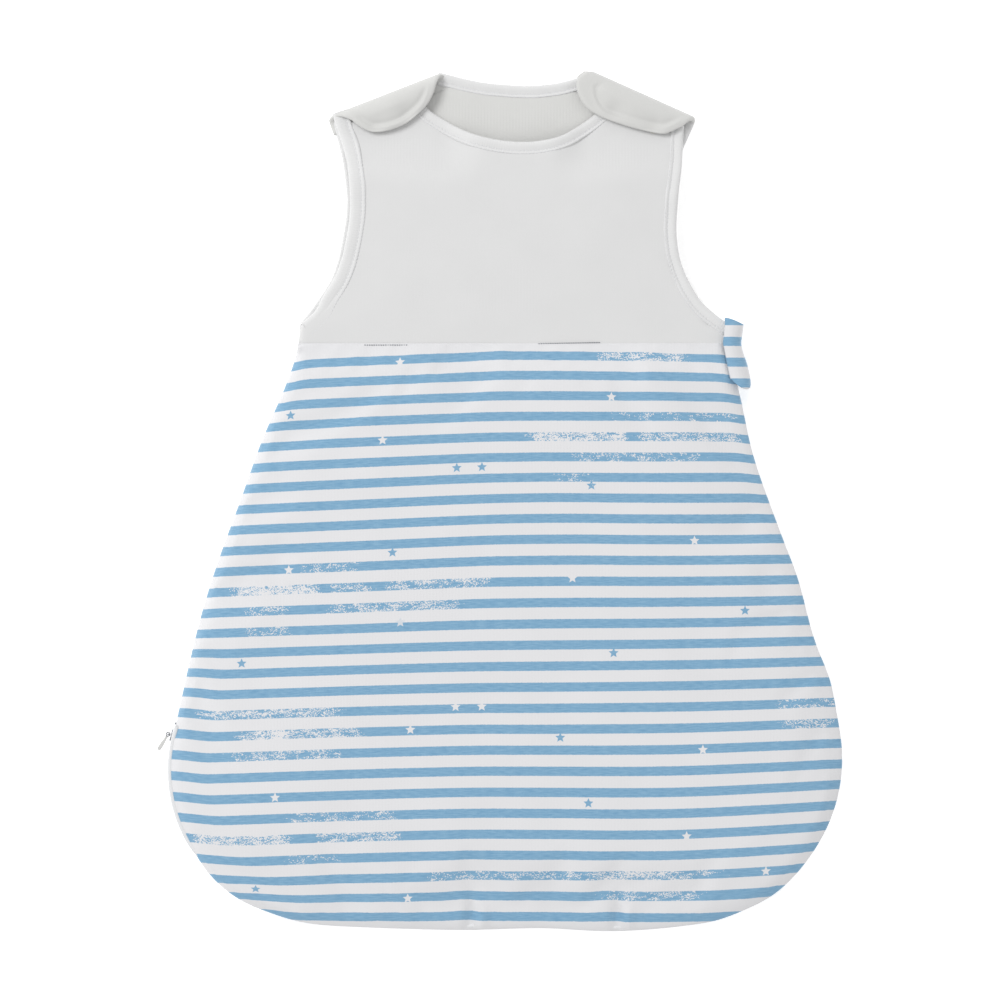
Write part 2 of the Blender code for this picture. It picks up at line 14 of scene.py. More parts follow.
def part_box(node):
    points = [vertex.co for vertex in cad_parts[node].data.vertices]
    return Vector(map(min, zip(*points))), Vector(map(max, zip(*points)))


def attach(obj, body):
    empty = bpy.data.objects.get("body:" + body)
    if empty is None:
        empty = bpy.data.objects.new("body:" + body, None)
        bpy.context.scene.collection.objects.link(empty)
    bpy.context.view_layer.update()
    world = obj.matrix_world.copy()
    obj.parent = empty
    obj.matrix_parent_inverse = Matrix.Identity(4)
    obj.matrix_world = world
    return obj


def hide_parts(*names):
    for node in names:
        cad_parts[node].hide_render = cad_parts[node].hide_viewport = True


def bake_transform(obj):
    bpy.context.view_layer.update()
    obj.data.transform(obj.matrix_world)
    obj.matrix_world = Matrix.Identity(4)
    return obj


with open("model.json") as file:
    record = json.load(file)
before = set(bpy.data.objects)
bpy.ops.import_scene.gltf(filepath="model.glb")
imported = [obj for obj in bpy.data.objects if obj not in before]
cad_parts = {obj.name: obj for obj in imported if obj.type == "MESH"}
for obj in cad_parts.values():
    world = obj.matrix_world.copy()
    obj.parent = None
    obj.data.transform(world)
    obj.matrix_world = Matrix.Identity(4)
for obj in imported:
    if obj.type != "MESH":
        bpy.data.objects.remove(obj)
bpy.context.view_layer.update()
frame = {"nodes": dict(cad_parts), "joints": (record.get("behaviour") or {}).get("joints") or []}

MM = 0.001
CENTRE = np.array([0.0, -60.0])

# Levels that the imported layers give
BACK_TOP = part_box("back_skirt_lining")[1].z / MM
FRONT_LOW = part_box("front_skirt_upper_lining")[0].z / MM
FRONT_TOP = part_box("front_skirt_upper_shell")[1].z / MM
YOKE_FRONT_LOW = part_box("front_yoke_lining")[1].z / MM - 0.8
YOKE_FRONT_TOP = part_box("front_yoke_shell")[1].z / MM
YOKE_BACK_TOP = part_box("back_yoke_lining")[1].z / MM
SEAM_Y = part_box("back_skirt_shell")[1].y / MM

# How the front yoke drops at the shoulders
SHOULDER_DROP, DROP_CENTRE_X = 9.0, 8.0
DROP_X, DROP_Y = (25.0, 55.0), (240.0, 280.0)

# The print: stripes, counted down from the first below the yoke
STRIPE_PITCH, STRIPE_WIDTH = 15.713, 6.9
FIRST_STRIPE_Y = 109.8
STAR_SIZE = 3.9
STARS = [  # (x, row), where whole rows are stripes and halves are the white between them
    (-79.5, 0.12), (80.3, 2.05), (-162.1, 2.5), (-92.4, 3.95), (-36.4, 5.45), (-17.4, 5.45), (65.2, 6.4),
    (143.2, 9.05), (-84.8, 9.4), (-162.9, 10.05), (50.8, 10.85), (181.1, 12.45), (-78.8, 12.77), (81.8, 14.4),
    (-198.5, 14.5), (-37.1, 16.9), (-17.4, 16.9), (-71.2, 17.95), (41.7, 18.4), (149.3, 19.05),
    (-173.5, 21.0), (62.9, 21.5), (137.1, 23.1), (197.0, 25.0), (-188.6, 25.5), (-73.5, 26.05)]
WORN = [  # (row, from x, to x, share of the ink that is gone)
    (0, 72, 140, .5), (3, 80, 174, .22), (4, 19, 80, .75), (4, 80, 91, 1), (4, 102, 178, .5),
    (5, 49, 148, .3), (6, 42, 64, .3), (10, -155, -110, .3), (11, -204, -140, .75),
    (11, -133, -102, .45), (11, -87, -11, .45),
    (12, -193, -163, .35), (12, -133, -34, .45), (13, -193, -163, .35), (17, -231, -125, .5),
    (17, 208, 250, .35), (18, -200, -110, .55), (18, -177, -165, 1), (18, 208, 250, .4), (19, -208, -125, .4),
    (22, -163, -80, .3), (23, -235, -163, .7), (23, -140, -80, .5), (24, -163, -125, .3),
    (25, -57, 163, .35), (25, 72, 133, .6), (26, 72, 148, .35)]
# How far the stripes hang below level at each side, by height on the bag
DROOP_Y = (-314, -290, -160, 30, 60, 110)
DROOP_LEFT = (0.0, 5.3, 4.6, 6.6, 7.2, 8.0)
DROOP_RIGHT = (-1.0, -4.5, -3.2, -2.3, -1.0, 1.5)
DROOP_X, DROOP_REACH = -3.8, 190.0
# Places where the print is pulled further down or up: (x, y, reach across, reach along, how far down)
PULLS = [(26, -22, 95, 85, -2.1), (125, -255, 90, 85, 3.0), (-76, 108, 50, 30, 1.0),
         (10, -175, 230, 75, -0.7), (-32, -305, 9, 22, -0.9), (78, -305, 10, 22, -0.9)]


# ---------------------------------------------------------------- shapes

def ease(t):
    """Rises smoothly from 0 to 1 as t does."""
    t = np.clip(t, 0, 1)
    return t * t * (3 - 2 * t)


def sheet_edge(node, facing=-1):
    """The closed edge of a CAD layer's underside or top face, anticlockwise from above."""
    mesh = frame["nodes"][node].data
    places = {}
    ids = [places.setdefault(tuple(round(c, 5) for c in v.co), len(places)) for v in mesh.vertices]
    spots = np.array(list(places)) / MM
    open_sides = {}
    for face in mesh.polygons:
        if face.normal.z * facing < 0.5:
            continue
        corners = [ids[i] for i in face.vertices]
        for a, b in zip(corners, corners[1:] + corners[:1]):
            if (b, a) in open_sides:
                del open_sides[(b, a)]
            else:
                open_sides[(a, b)] = True
    steps = dict(list(open_sides))
    line, at = [], next(iter(steps))
    while at in steps:
        line.append(at)
        at = steps.pop(at)
    loop = spots[line]
    x, y = loop[:, 0], loop[:, 1]
    turn = (x * np.roll(y, -1) - y * np.roll(x, -1)).sum()
    return loop if turn > 0 else loop[::-1]


def strip_sides(node, centre=CENTRE):
    """The two long edges of a CAD strip's underside, the one further from the centre first."""
    loop = sheet_edge(node)
    half = len(loop) // 2
    best = None
    for turn in range(len(loop)):
        rolled = np.roll(loop, -turn, axis=0)
        one, two = rolled[:half], rolled[half:][::-1]
        spread = np.linalg.norm(one - two, axis=1).max()
        if best is None or spread < best[0]:
            best = (spread, one, two)
    one, two = best[1:]
    far = [np.linalg.norm(side[:, :2] - centre, axis=1).mean() for side in (one, two)]
    return (one, two) if far[0] > far[1] else (two, one)


def curve(a, b, c, d, t):
    """A smooth curve from b to c as t goes from 0 to 1. a and d are the points before and after them."""
    return 0.5 * (2 * b + (c - a) * t + (2 * a - 5 * b + 4 * c - d) * t**2 + (3 * b - a - 3 * c + d) * t**3)


def smooth_line(points, spacing):
    """Evenly spaced points on a smooth line through these."""
    points = np.asarray(points, float)
    ends = np.vstack([2 * points[0] - points[1], points, 2 * points[-1] - points[-2]])
    t = np.linspace(0, 1, 8, endpoint=False)[:, None]
    parts = [curve(*four, t) for four in zip(ends, ends[1:], ends[2:], ends[3:])]
    return even_line(np.vstack([*parts, points[-1:]]), spacing)


def even_line(points, spacing):
    """Evenly spaced points on a broken line."""
    along = run_of(points)
    wanted = np.linspace(0, along[-1], max(2, round(along[-1] / spacing) + 1))
    return np.column_stack([np.interp(wanted, along, column) for column in points.T])


def run_of(points):
    """How far along the line each of its points is."""
    return np.concatenate([[0], np.cumsum(np.linalg.norm(np.diff(points, axis=0), axis=1))])


def side_of(path, closed=False):
    """The level normal at each point, to the right of the direction of travel."""
    if closed:
        along = np.roll(path, -1, axis=0) - np.roll(path, 1, axis=0)
    else:
        along = np.gradient(path, axis=0)
    side = np.column_stack([along[:, 1], -along[:, 0]])
    return side / np.linalg.norm(side, axis=1)[:, None]


def outward_path(sides):
    """A strip's outer edge, running so that the outside is to its right."""
    outer, inner = sides
    towards = ((outer - inner)[:, :2] * side_of(outer)).sum()
    return (outer, inner) if towards > 0 else (outer[::-1], inner[::-1])


def inside(points, loop):
    """Whether each point is inside a closed line."""
    x, y = points[:, :1], points[:, 1:2]
    a, b = loop, np.roll(loop, -1, axis=0)
    rise = np.where(b[:, 1] == a[:, 1], 1e-9, b[:, 1] - a[:, 1])
    crosses = (a[:, 1] > y) != (b[:, 1] > y)
    return (crosses & (x < (b[:, 0] - a[:, 0]) * (y - a[:, 1]) / rise + a[:, 0])).sum(1) % 2 == 1


def edge_distance(points, loop, closed=True):
    """How far each point is from a line, and which of its stretches is nearest."""
    a = loop if closed else loop[:-1]
    b = np.roll(loop, -1, axis=0) if closed else loop[1:]
    ab = b - a
    gap, nearest = np.empty(len(points)), np.empty(len(points), int)
    for start in range(0, len(points), 1000):
        p = points[start:start + 1000, None]
        t = np.clip(((p - a) * ab).sum(2) / np.maximum((ab**2).sum(1), 1e-12), 0, 1)
        far = np.linalg.norm(p - a - t[..., None] * ab, axis=2)
        nearest[start:start + 1000] = far.argmin(1)
        gap[start:start + 1000] = far.min(1)
    return gap, nearest


def ripple(x, y, size, seed=0.0):
    """Smooth unevenness from -1 to 1, with lumps about this wide."""
    return np.array([noise.noise(Vector((p / size, q / size, seed))) for p, q in zip(x, y)]) * 1.6


def drop_at(x, y):
    """How far the front yoke has come down towards the back."""
    across = ease((np.abs(x - DROP_CENTRE_X) - DROP_X[0]) / (DROP_X[1] - DROP_X[0]))
    return SHOULDER_DROP * across * ease((y - DROP_Y[0]) / (DROP_Y[1] - DROP_Y[0]))


def cloth_place(x, y, gap):
    """Where a point of the skirt is on its printed cloth, which was pulled a little out of level as it was
    sewn, and which turns down over the side seams."""
    left = np.clip((DROOP_X - x) / DROOP_REACH, 0, 1.3) ** 1.4
    right = np.clip((x - DROOP_X) / DROOP_REACH, 0, 1.3) ** 1.4
    hang = np.interp(y, DROOP_Y, DROOP_LEFT) * left + np.interp(y, DROOP_Y, DROOP_RIGHT) * right
    hang += sum(drop * np.exp(-((x - a) / wide) ** 2 - ((y - b) / high) ** 2)
                for a, b, wide, high, drop in PULLS)
    out = np.abs(x - DROOP_X)
    turned_down = np.exp(-(gap / 9) ** 2) * ease((out - 105) / 30) * ease((y + 30 * np.sign(x)) / 60)
    turned_up = (1 - ease(gap / 32)) * ease((-90 - y) / 60) * ease((-x - 150) / 45)
    return x, y + hang + 1.9 * turned_down - 3.2 * turned_up


def wear_at(u, v):
    """The share of the ink that is gone at each place on the cloth."""
    worn = np.zeros(len(u))
    for row, start, end, share in WORN:
        level = FIRST_STRIPE_Y - row * STRIPE_PITCH
        beside = ease((STRIPE_PITCH * 0.62 - np.abs(v - level)) / 3.0)
        soft = 4.0 if share == 1 else 16.0
        along = ease((u - start) / soft + 0.5) * ease((end - u) / soft + 0.5)
        worn = np.maximum(worn, share * beside * along)
    return worn


# ---------------------------------------------------------------- meshes

def make(name, points, faces, materials, cloth=None, slots=None, wear=None):
    """A shown piece from points in millimetres. cloth is each point's place on the flat cloth."""
    points = np.asarray(points, float)
    mesh = bpy.data.meshes.new(name)
    mesh.from_pydata((points * MM).tolist(), [], [list(map(int, f)) for f in faces])
    for material in materials:
        mesh.materials.append(material)
    if slots is not None:
        mesh.polygons.foreach_set("material_index", np.asarray(slots, np.int32))
    flat = points if cloth is None else np.column_stack([cloth, np.zeros((len(points), 3 - cloth.shape[1]))])
    stored = mesh.attributes.new("cloth", "FLOAT_VECTOR", "POINT")
    stored.data.foreach_set("vector", (flat * MM).astype(np.float32).ravel())
    if wear is not None:
        stored = mesh.attributes.new("wear", "FLOAT", "POINT")
        stored.data.foreach_set("value", wear.astype(np.float32))
    bm = bmesh.new()
    bm.from_mesh(mesh)
    bmesh.ops.remove_doubles(bm, verts=bm.verts, dist=1e-6)
    bmesh.ops.recalc_face_normals(bm, faces=bm.faces)
    bm.to_mesh(mesh)
    bm.free()
    mesh.shade_smooth()
    piece = bpy.data.objects.new(name, mesh)
    bpy.context.scene.collection.objects.link(piece)
    return piece


def settle(piece, body, slot, *nodes):
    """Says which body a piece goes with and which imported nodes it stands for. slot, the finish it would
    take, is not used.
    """
    if body:
        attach(piece, body)
    if nodes:
        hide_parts(*nodes)
    return piece


def box_mm(node):
    """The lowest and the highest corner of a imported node."""
    return [np.array(corner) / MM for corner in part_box(node)]


def shifted(path, out, z):
    """The line moved to its right by out, and laid at height z."""
    moved = path.copy()
    moved[:, :2] += side_of(path[:, :2]) * np.reshape(out, (-1, 1))
    moved[:, 2] = z
    return moved


def tube_faces(rings, count, first=0):
    """The faces between rings of count points, and the two that close the ends."""
    faces = []
    for start in range(first, first + (rings - 1) * count, count):
        faces += [(start + i, start + (i + 1) % count, start + count + (i + 1) % count, start + count + i)
                  for i in range(count)]
    last = first + (rings - 1) * count
    return faces + [range(first, first + count), range(last, last + count)]


def sweep(name, path, profile, material, sizes=None):
    """A closed section carried along a level line. The profile is in (out, up), with out to its right."""
    side = side_of(path[:, :2])
    count = len(profile)
    profile = np.asarray(profile, float)
    sizes = np.ones(len(path)) if sizes is None else sizes
    out = path[:, None, :2] + side[:, None] * profile[None, :, :1] * sizes[:, None, None]
    up = path[:, None, 2:3] + profile[None, :, 1:] * sizes[:, None, None]
    points = np.concatenate([out, up], axis=2).reshape(-1, 3)
    round_it = run_of(np.vstack([profile, profile[:1]]))[:-1]
    cloth = np.column_stack([np.repeat(run_of(path), count), np.tile(round_it, len(path))])
    return make(name, points, tube_faces(len(path), count), [material], cloth)


def rounded(profile, steps=3):
    """A closed section with its corners smoothed."""
    points = np.asarray(profile, float)
    count = len(points)
    smooth = []
    for i in range(count):
        four = [points[(i + k) % count] for k in (-1, 0, 1, 2)]
        smooth += [curve(*four, s / steps) for s in range(steps)]
    return np.array(smooth)


def stitches(name, path, pitch=2.9, length=2.1, radius=0.28, material=None):
    """A row of thread stitches lying along a line in space."""
    along = run_of(path)
    starts = np.arange(pitch / 2, along[-1] - pitch / 2, pitch)
    around = [(math.cos(math.tau * k / 5), math.sin(math.tau * k / 5)) for k in range(5)]
    points, faces, cloth = [], [], []
    for start in starts:
        first = len(points)
        for step, fat in ((0, 0.15), (0.25, 0.9), (0.5, 1.0), (0.75, 0.9), (1, 0.15)):
            at = start + (step - 0.5) * length
            centre = np.array([np.interp(at, along, c) for c in path.T])
            ahead = np.array([np.interp(at + 0.5, along, c) for c in path.T]) - centre
            across = np.array([ahead[1], -ahead[0], 0]) / (np.hypot(*ahead[:2]) + 1e-9)
            for c, s in around:
                points.append(centre + across * c * fat * radius + np.array([0, 0, s * fat * radius]))
                cloth.append((at, s))
        faces += tube_faces(5, 5, first)
    return make(name, points, faces, [material], np.array(cloth))


# Where the rings beside a pad's edge lie, as shares of the width over which it rounds off
RIM_STEPS = (0.05, 0.16, 0.34, 0.6, 1.0)


def flat_cloth(edge, width, spacing):
    """Points and triangles that fill a closed outline, closer together beside its edge."""
    out = side_of(edge, closed=True)
    points = [edge]
    for step in RIM_STEPS:
        reach = width * step
        ring = edge - out * reach[:, None]
        gap = edge_distance(ring, edge)[0]
        points.append(ring[(gap > 0.92 * reach) & inside(ring, edge)])
    low, high = edge.min(0), edge.max(0)
    rows = np.arange(low[1], high[1], spacing * 0.866)
    grid = np.array([(x + (spacing / 2 if k % 2 else 0), y)
                     for k, y in enumerate(rows) for x in np.arange(low[0], high[0], spacing)])
    gap, near = edge_distance(grid, edge)
    points.append(grid[inside(grid, edge) & (gap > width[near] + 0.55 * spacing)])
    plan = np.vstack(points)
    count = len(edge)
    loop = [(i, (i + 1) % count) for i in range(count)]
    made = delaunay_2d_cdt([Vector(p) for p in plan], loop, [], 1, 1e-5)
    return np.array([tuple(p) for p in made[0]]), [tuple(f) for f in made[2]]


def inflate(points, faces, pinned, grow, pressure, most, frames=18):
    """Lets cloth that is a little too big for its edge fill out under pressure, and says where it rests."""
    mesh = bpy.data.meshes.new("cloth_at_rest")
    mesh.from_pydata((points * MM).tolist(), [], faces)
    cloth = bpy.data.objects.new("cloth_at_rest", mesh)
    bpy.context.scene.collection.objects.link(cloth)
    group = cloth.vertex_groups.new(name="seam")
    group.add([int(i) for i in np.flatnonzero(pinned)], 1.0, "REPLACE")
    modifier = cloth.modifiers.new("Cloth", "CLOTH")
    settings = modifier.settings
    settings.quality = 4
    settings.mass = 0.25
    settings.tension_stiffness = 12
    settings.compression_stiffness = 12
    settings.shear_stiffness = 6
    settings.bending_stiffness = 1.2
    settings.tension_damping = settings.compression_damping = settings.shear_damping = 12
    settings.air_damping = 4
    settings.vertex_group_mass = "seam"
    settings.shrink_min = -grow
    settings.use_pressure = True
    settings.uniform_pressure_force = pressure
    settings.effector_weights.gravity = 0
    modifier.collision_settings.use_collision = False
    modifier.collision_settings.use_self_collision = False
    scene = bpy.context.scene
    modifier.point_cache.frame_start = 1
    modifier.point_cache.frame_end = frames
    for number in range(1, frames + 1):
        scene.frame_set(number)
    graph = bpy.context.evaluated_depsgraph_get()
    result = cloth.evaluated_get(graph).to_mesh()
    moved = np.empty(len(points) * 3)
    result.vertices.foreach_get("co", moved)
    cloth.evaluated_get(graph).to_mesh_clear()
    bpy.data.objects.remove(cloth)
    scene.frame_set(1)
    shift = moved.reshape(-1, 3) / MM - points
    far = np.linalg.norm(shift, axis=1)
    return points + shift * np.minimum(1, most / np.maximum(far, 1e-9))[:, None]


def pad(name, edge, rim, width, top, low, materials, outer_on_top, place=None, spacing=5.0, fill=None):
    """A padded, closed piece: two cloths that meet at the outline at height rim, rounding off over width.
    materials are the outer cloth's and the lining's. top and low give heights from x, y and how far the
    edge is."""
    plan, faces = flat_cloth(edge, width, spacing)
    gap, near = edge_distance(plan, edge)
    x, y = plan.T
    round_off = np.sqrt(np.clip(1 - (1 - np.minimum(gap / width[near], 1)) ** 2, 0, 1))
    edge_z = rim[near]
    upper = np.column_stack([plan, edge_z + (top(x, y, gap) - edge_z) * round_off])
    lower = np.column_stack([plan, edge_z + (low(x, y, gap) - edge_z) * round_off])
    on_edge = gap < 1e-3
    if fill:
        upper = inflate(upper, faces, gap < 0.5 * width[near], **fill)
    count = len(plan)
    under = np.where(on_edge, np.arange(count), np.arange(count) + count)
    points = np.vstack([upper, lower])
    all_faces = faces + [tuple(under[i] for i in face[::-1]) for face in faces]
    used = np.zeros(2 * count, bool)
    used[np.unique(np.array(all_faces))] = True
    index = np.cumsum(used) - 1
    all_faces = [tuple(index[i] for i in face) for face in all_faces]
    wrapped = [min(gap[i] for i in face) < 1.0 for face in faces]
    top_slots = [0 if outer_on_top or w else 1 for w in wrapped]
    low_slots = [0 if not outer_on_top or w else 1 for w in wrapped]
    u, v = place(x, y, gap) if place else (x, y)
    cloth = np.vstack([np.column_stack([u, v])] * 2)
    wear = np.concatenate([wear_at(u, v)] * 2) if place else None
    return make(name, points[used], all_faces, materials, cloth[used], top_slots + low_slots,
                wear[used] if place else None)


# ---------------------------------------------------------------- finishes

def linear(hex_colour):
    """An sRGB hex colour as linear light, with full alpha."""
    parts = [int(hex_colour[i:i + 2], 16) / 255 for i in (1, 3, 5)]
    return (*[p / 12.92 if p <= 0.04045 else ((p + 0.055) / 1.055) ** 2.4 for p in parts], 1.0)


def add(tree, kind, inputs=None, **settings):
    """Adds a shader node with its settings, and its sockets' values or links. Returns its outputs."""
    node = tree.nodes.new("ShaderNode" + kind)
    for key, value in settings.items():
        setattr(node, key, value)
    for key, value in (inputs or {}).items():
        if isinstance(value, bpy.types.NodeSocket):
            tree.links.new(value, node.inputs[key])
        else:
            node.inputs[key].default_value = value
    return node.outputs


def new_material(name):
    """An empty material and its node tree."""
    material = bpy.data.materials.new(name)
    material.use_nodes = True
    material.node_tree.nodes.clear()
    return material, material.node_tree


def finish_material(tree, inputs):
    """Ends a material with its shader."""
    shader = add(tree, "BsdfPrincipled", inputs)
    add(tree, "OutputMaterial", {"Surface": shader[0]})


def mottled(tree, place, scale, detail, light, shade):
    """A tone that wanders in clouds between two hex colours, and the clouds themselves."""
    clouds = add(tree, "TexNoise", {"Vector": place, "Scale": scale, "Detail": detail})["Fac"]
    tone = add(tree, "Mix", {"Factor": clouds, "A": linear(light), "B": linear(shade)}, data_type="RGBA")
    return tone["Result"], clouds


def cotton_finish(tree, tone, height, bump=0.045, roughness=0.86, sheen=0.3):
    """Ends a cotton material: matt, with the faint bloom of its loose fibres."""
    normal = add(tree, "Bump", {"Height": height, "Strength": 0.5, "Distance": bump * MM})[0]
    finish_material(tree, {"Base Color": tone, "Roughness": roughness, "Sheen Weight": sheen,
                           "Sheen Roughness": 0.5, "IOR": 1.45, "Specular IOR Level": 0.3, "Normal": normal})


def hard_finish(name, scale, detail, light, shade, gloss, surface, bump=0.0):
    """A hard, smooth material whose tone and roughness wander together. gloss is its least and most
    roughness."""
    material, tree = new_material(name)
    place = add(tree, "TexCoord")["Object"]
    tone, clouds = mottled(tree, place, scale, detail, light, shade)
    rough = add(tree, "MapRange", {"Value": clouds, "To Min": gloss[0], "To Max": gloss[1]})[0]
    surface = {"Base Color": tone, "Roughness": rough, **surface}
    if bump:
        surface["Normal"] = add(tree, "Bump", {"Height": clouds, "Strength": 0.3, "Distance": bump * MM})[0]
    finish_material(tree, surface)
    return material


def knit_height(tree, place, wale, course):
    """Height of jersey knit from its place in millimetres: wales down the cloth, courses across it."""
    parts = add(tree, "SeparateXYZ", {0: place})
    across = add(tree, "Math", {0: parts["X"], 1: math.tau / wale}, operation="MULTIPLY")[0]
    ribs = add(tree, "Math", {0: across}, operation="SINE")[0]
    down = add(tree, "Math", {0: parts["Y"], 1: math.tau / course}, operation="MULTIPLY")[0]
    loops = add(tree, "Math", {0: down}, operation="SINE")[0]
    knit = add(tree, "Math", {0: loops, 1: 0.35, 2: ribs}, operation="MULTIPLY_ADD")[0]
    fuzz = add(tree, "TexNoise", {"Vector": place, "Scale": 0.9, "Detail": 4.0, "Roughness": 0.65})
    return add(tree, "Math", {0: fuzz["Fac"], 1: 1.6, 2: knit}, operation="MULTIPLY_ADD")[0]


def cloth_mm(tree):
    """The stored place on the flat cloth, in millimetres."""
    stored = add(tree, "Attribute", attribute_name="cloth")["Vector"]
    return add(tree, "VectorMath", {0: stored, "Scale": 1 / MM}, operation="SCALE")["Vector"]


# Jersey wales are 0.8 mm apart on the real cloth. They are drawn at 2.4 mm so that they show.
WALE, COURSE = 2.4, 1.9


def soft_cotton(name, light, shade, bump=0.045):
    """Plain cotton jersey: matt, with a faint bloom from its loose fibres and a slight unevenness of tone."""
    material, tree = new_material(name)
    place = cloth_mm(tree)
    tone = mottled(tree, place, 0.03, 3.0, light, shade)[0]
    cotton_finish(tree, tone, knit_height(tree, place, WALE, COURSE), bump)
    return material


INK, INK_LIGHT, COTTON, COTTON_SHADE = "#6F9BBB", "#86ADC8", "#DDDDDF", "#D7D7D9"


def printed_cotton():
    """Cotton jersey with pigment-printed stripes and stars, rubbed away in places down to the white cloth."""
    material, tree = new_material("pigment_printed_cotton_jersey")
    place = cloth_mm(tree)
    parts = add(tree, "SeparateXYZ", {0: place})
    waver = add(tree, "TexNoise", {"Vector": place, "Scale": 0.6, "Detail": 2.0})["Fac"]
    level = add(tree, "Math", {0: waver, 1: 0.55, 2: parts["Y"]}, operation="MULTIPLY_ADD")[0]

    def stripe_at(height):
        """1 on a stripe and 0 between stripes, by height on the cloth. Above the first it is plain."""
        down = add(tree, "Math", {0: FIRST_STRIPE_Y + 0.28, 1: height}, operation="SUBTRACT")[0]
        row = add(tree, "Math", {0: down, 1: STRIPE_PITCH}, operation="DIVIDE")[0]
        off = add(tree, "Math", {0: row, 1: 0.5}, operation="PINGPONG")[0]
        band = add(tree, "MapRange", {
            "Value": off, "From Min": STRIPE_WIDTH / STRIPE_PITCH / 2 - 0.012,
            "From Max": STRIPE_WIDTH / STRIPE_PITCH / 2 + 0.012, "To Min": 1.0, "To Max": 0.0})[0]
        below = add(tree, "Math", {0: row, 1: -0.5}, operation="GREATER_THAN")[0]
        return add(tree, "Math", {0: band, 1: below}, operation="MULTIPLY")[0]

    stripe = stripe_at(level)
    # The nearest star's own axes
    nearest, closest = None, None
    for x, row in STARS:
        centre = (x, FIRST_STRIPE_Y - row * STRIPE_PITCH, 0)
        away = add(tree, "VectorMath", {0: place, 1: centre}, operation="SUBTRACT")["Vector"]
        far = add(tree, "VectorMath", {0: away}, operation="LENGTH")["Value"]
        if nearest is None:
            nearest, closest = away, far
            continue
        nearer = add(tree, "Math", {0: far, 1: closest}, operation="LESS_THAN")[0]
        nearest = add(tree, "Mix", {"Factor": nearer, "A": nearest, "B": away}, data_type="VECTOR")["Result"]
        closest = add(tree, "Math", {0: far, 1: closest}, operation="MINIMUM")[0]
    own = add(tree, "SeparateXYZ", {0: nearest})
    angle = add(tree, "Math", {0: own["X"], 1: own["Y"]}, operation="ARCTAN2")[0]
    folded = add(tree, "Math", {0: angle, 1: math.pi / 5}, operation="PINGPONG")[0]
    cosine = add(tree, "Math", {0: folded}, operation="COSINE")[0]
    sine = add(tree, "Math", {0: folded}, operation="SINE")[0]
    # A star's edge runs from its point, at its full radius, to the notch at under half of it
    notch = 0.46
    along, across = notch * math.sin(math.pi / 5), 1 - notch * math.cos(math.pi / 5)
    first = add(tree, "Math", {0: cosine, 1: along}, operation="MULTIPLY")[0]
    both = add(tree, "Math", {0: sine, 1: across, 2: first}, operation="MULTIPLY_ADD")[0]
    reach = add(tree, "Math", {0: both, 1: closest}, operation="MULTIPLY")[0]
    star = add(tree, "MapRange", {"Value": reach, "From Min": along * (STAR_SIZE + 0.25),
                                  "From Max": along * (STAR_SIZE - 0.25)})[0]
    # A star takes the other colour from the one that it lies on
    middle = add(tree, "Math", {0: parts["Y"], 1: own["Y"]}, operation="SUBTRACT")[0]
    under = stripe_at(middle)
    swapped = add(tree, "Math", {0: 1.0, 1: under}, operation="SUBTRACT")[0]
    ink = add(tree, "Mix", {"Factor": star, "A": stripe, "B": swapped}, data_type="FLOAT")["Result"]
    # Rubbed ink comes off in grains, more of them in some places than in others
    drawn_out = add(tree, "Mapping", {"Vector": place, "Scale": (0.7, 1.0, 1.0)})[0]
    grains = add(tree, "TexVoronoi", {"Vector": drawn_out, "Scale": 1.9})["Color"]
    grain = add(tree, "SeparateColor", {"Color": grains})[0]
    patches = add(tree, "Mapping", {"Vector": place, "Scale": (0.09, 0.24, 1.0)})[0]
    patchy = add(tree, "TexNoise", {"Vector": patches, "Scale": 1.0, "Detail": 4.0, "Roughness": 0.62})
    uneven = add(tree, "Math", {0: patchy["Fac"], 1: 2.6, 2: -1.45}, operation="MULTIPLY_ADD")[0]
    wear = add(tree, "Attribute", attribute_name="wear")["Fac"]
    share = add(tree, "Math", {0: wear, 1: 1.08, 2: uneven}, operation="MULTIPLY_ADD")[0]
    within = add(tree, "Math", {0: wear, 1: 5.0}, operation="MULTIPLY", use_clamp=True)[0]
    share = add(tree, "Math", {0: share, 1: within}, operation="MULTIPLY", use_clamp=True)[0]
    gone = add(tree, "Math", {0: share, 1: grain}, operation="SUBTRACT")[0]
    left = add(tree, "MapRange", {"Value": gone, "From Min": 0.0, "From Max": 0.02,
                                  "To Min": 1.0, "To Max": 0.0})[0]
    ink = add(tree, "Math", {0: ink, 1: left}, operation="MULTIPLY")[0]
    # The ink takes unevenly on the knit, in short streaks along its courses
    stretched = add(tree, "Mapping", {"Vector": place, "Scale": (0.14, 1.1, 1.0)})[0]
    streaks = add(tree, "TexNoise", {"Vector": stretched, "Scale": 1.0, "Detail": 3.0})["Fac"]
    sharper = add(tree, "MapRange", {"Value": streaks, "From Min": 0.3, "From Max": 0.7})[0]
    blue = add(tree, "Mix", {"Factor": sharper, "A": linear(INK), "B": linear(INK_LIGHT)}, data_type="RGBA")
    white = mottled(tree, place, 0.025, 3.0, COTTON, COTTON_SHADE)[0]
    tone = add(tree, "Mix", {"Factor": ink, "A": white, "B": blue["Result"]}, data_type="RGBA")["Result"]
    cotton_finish(tree, tone, knit_height(tree, place, WALE, COURSE))
    return material


def rib_binding():
    """Narrow rib-knit band, folded over an edge: fine ribs run across it, closer than on the jersey."""
    material, tree = new_material("rib_knit_cotton_band")
    place = cloth_mm(tree)
    tone = mottled(tree, place, 0.05, 2.0, "#DCDCDC", "#D5D5D5")[0]
    cotton_finish(tree, tone, knit_height(tree, place, 1.8, 3.2), 0.08, 0.84, 0.35)
    return material


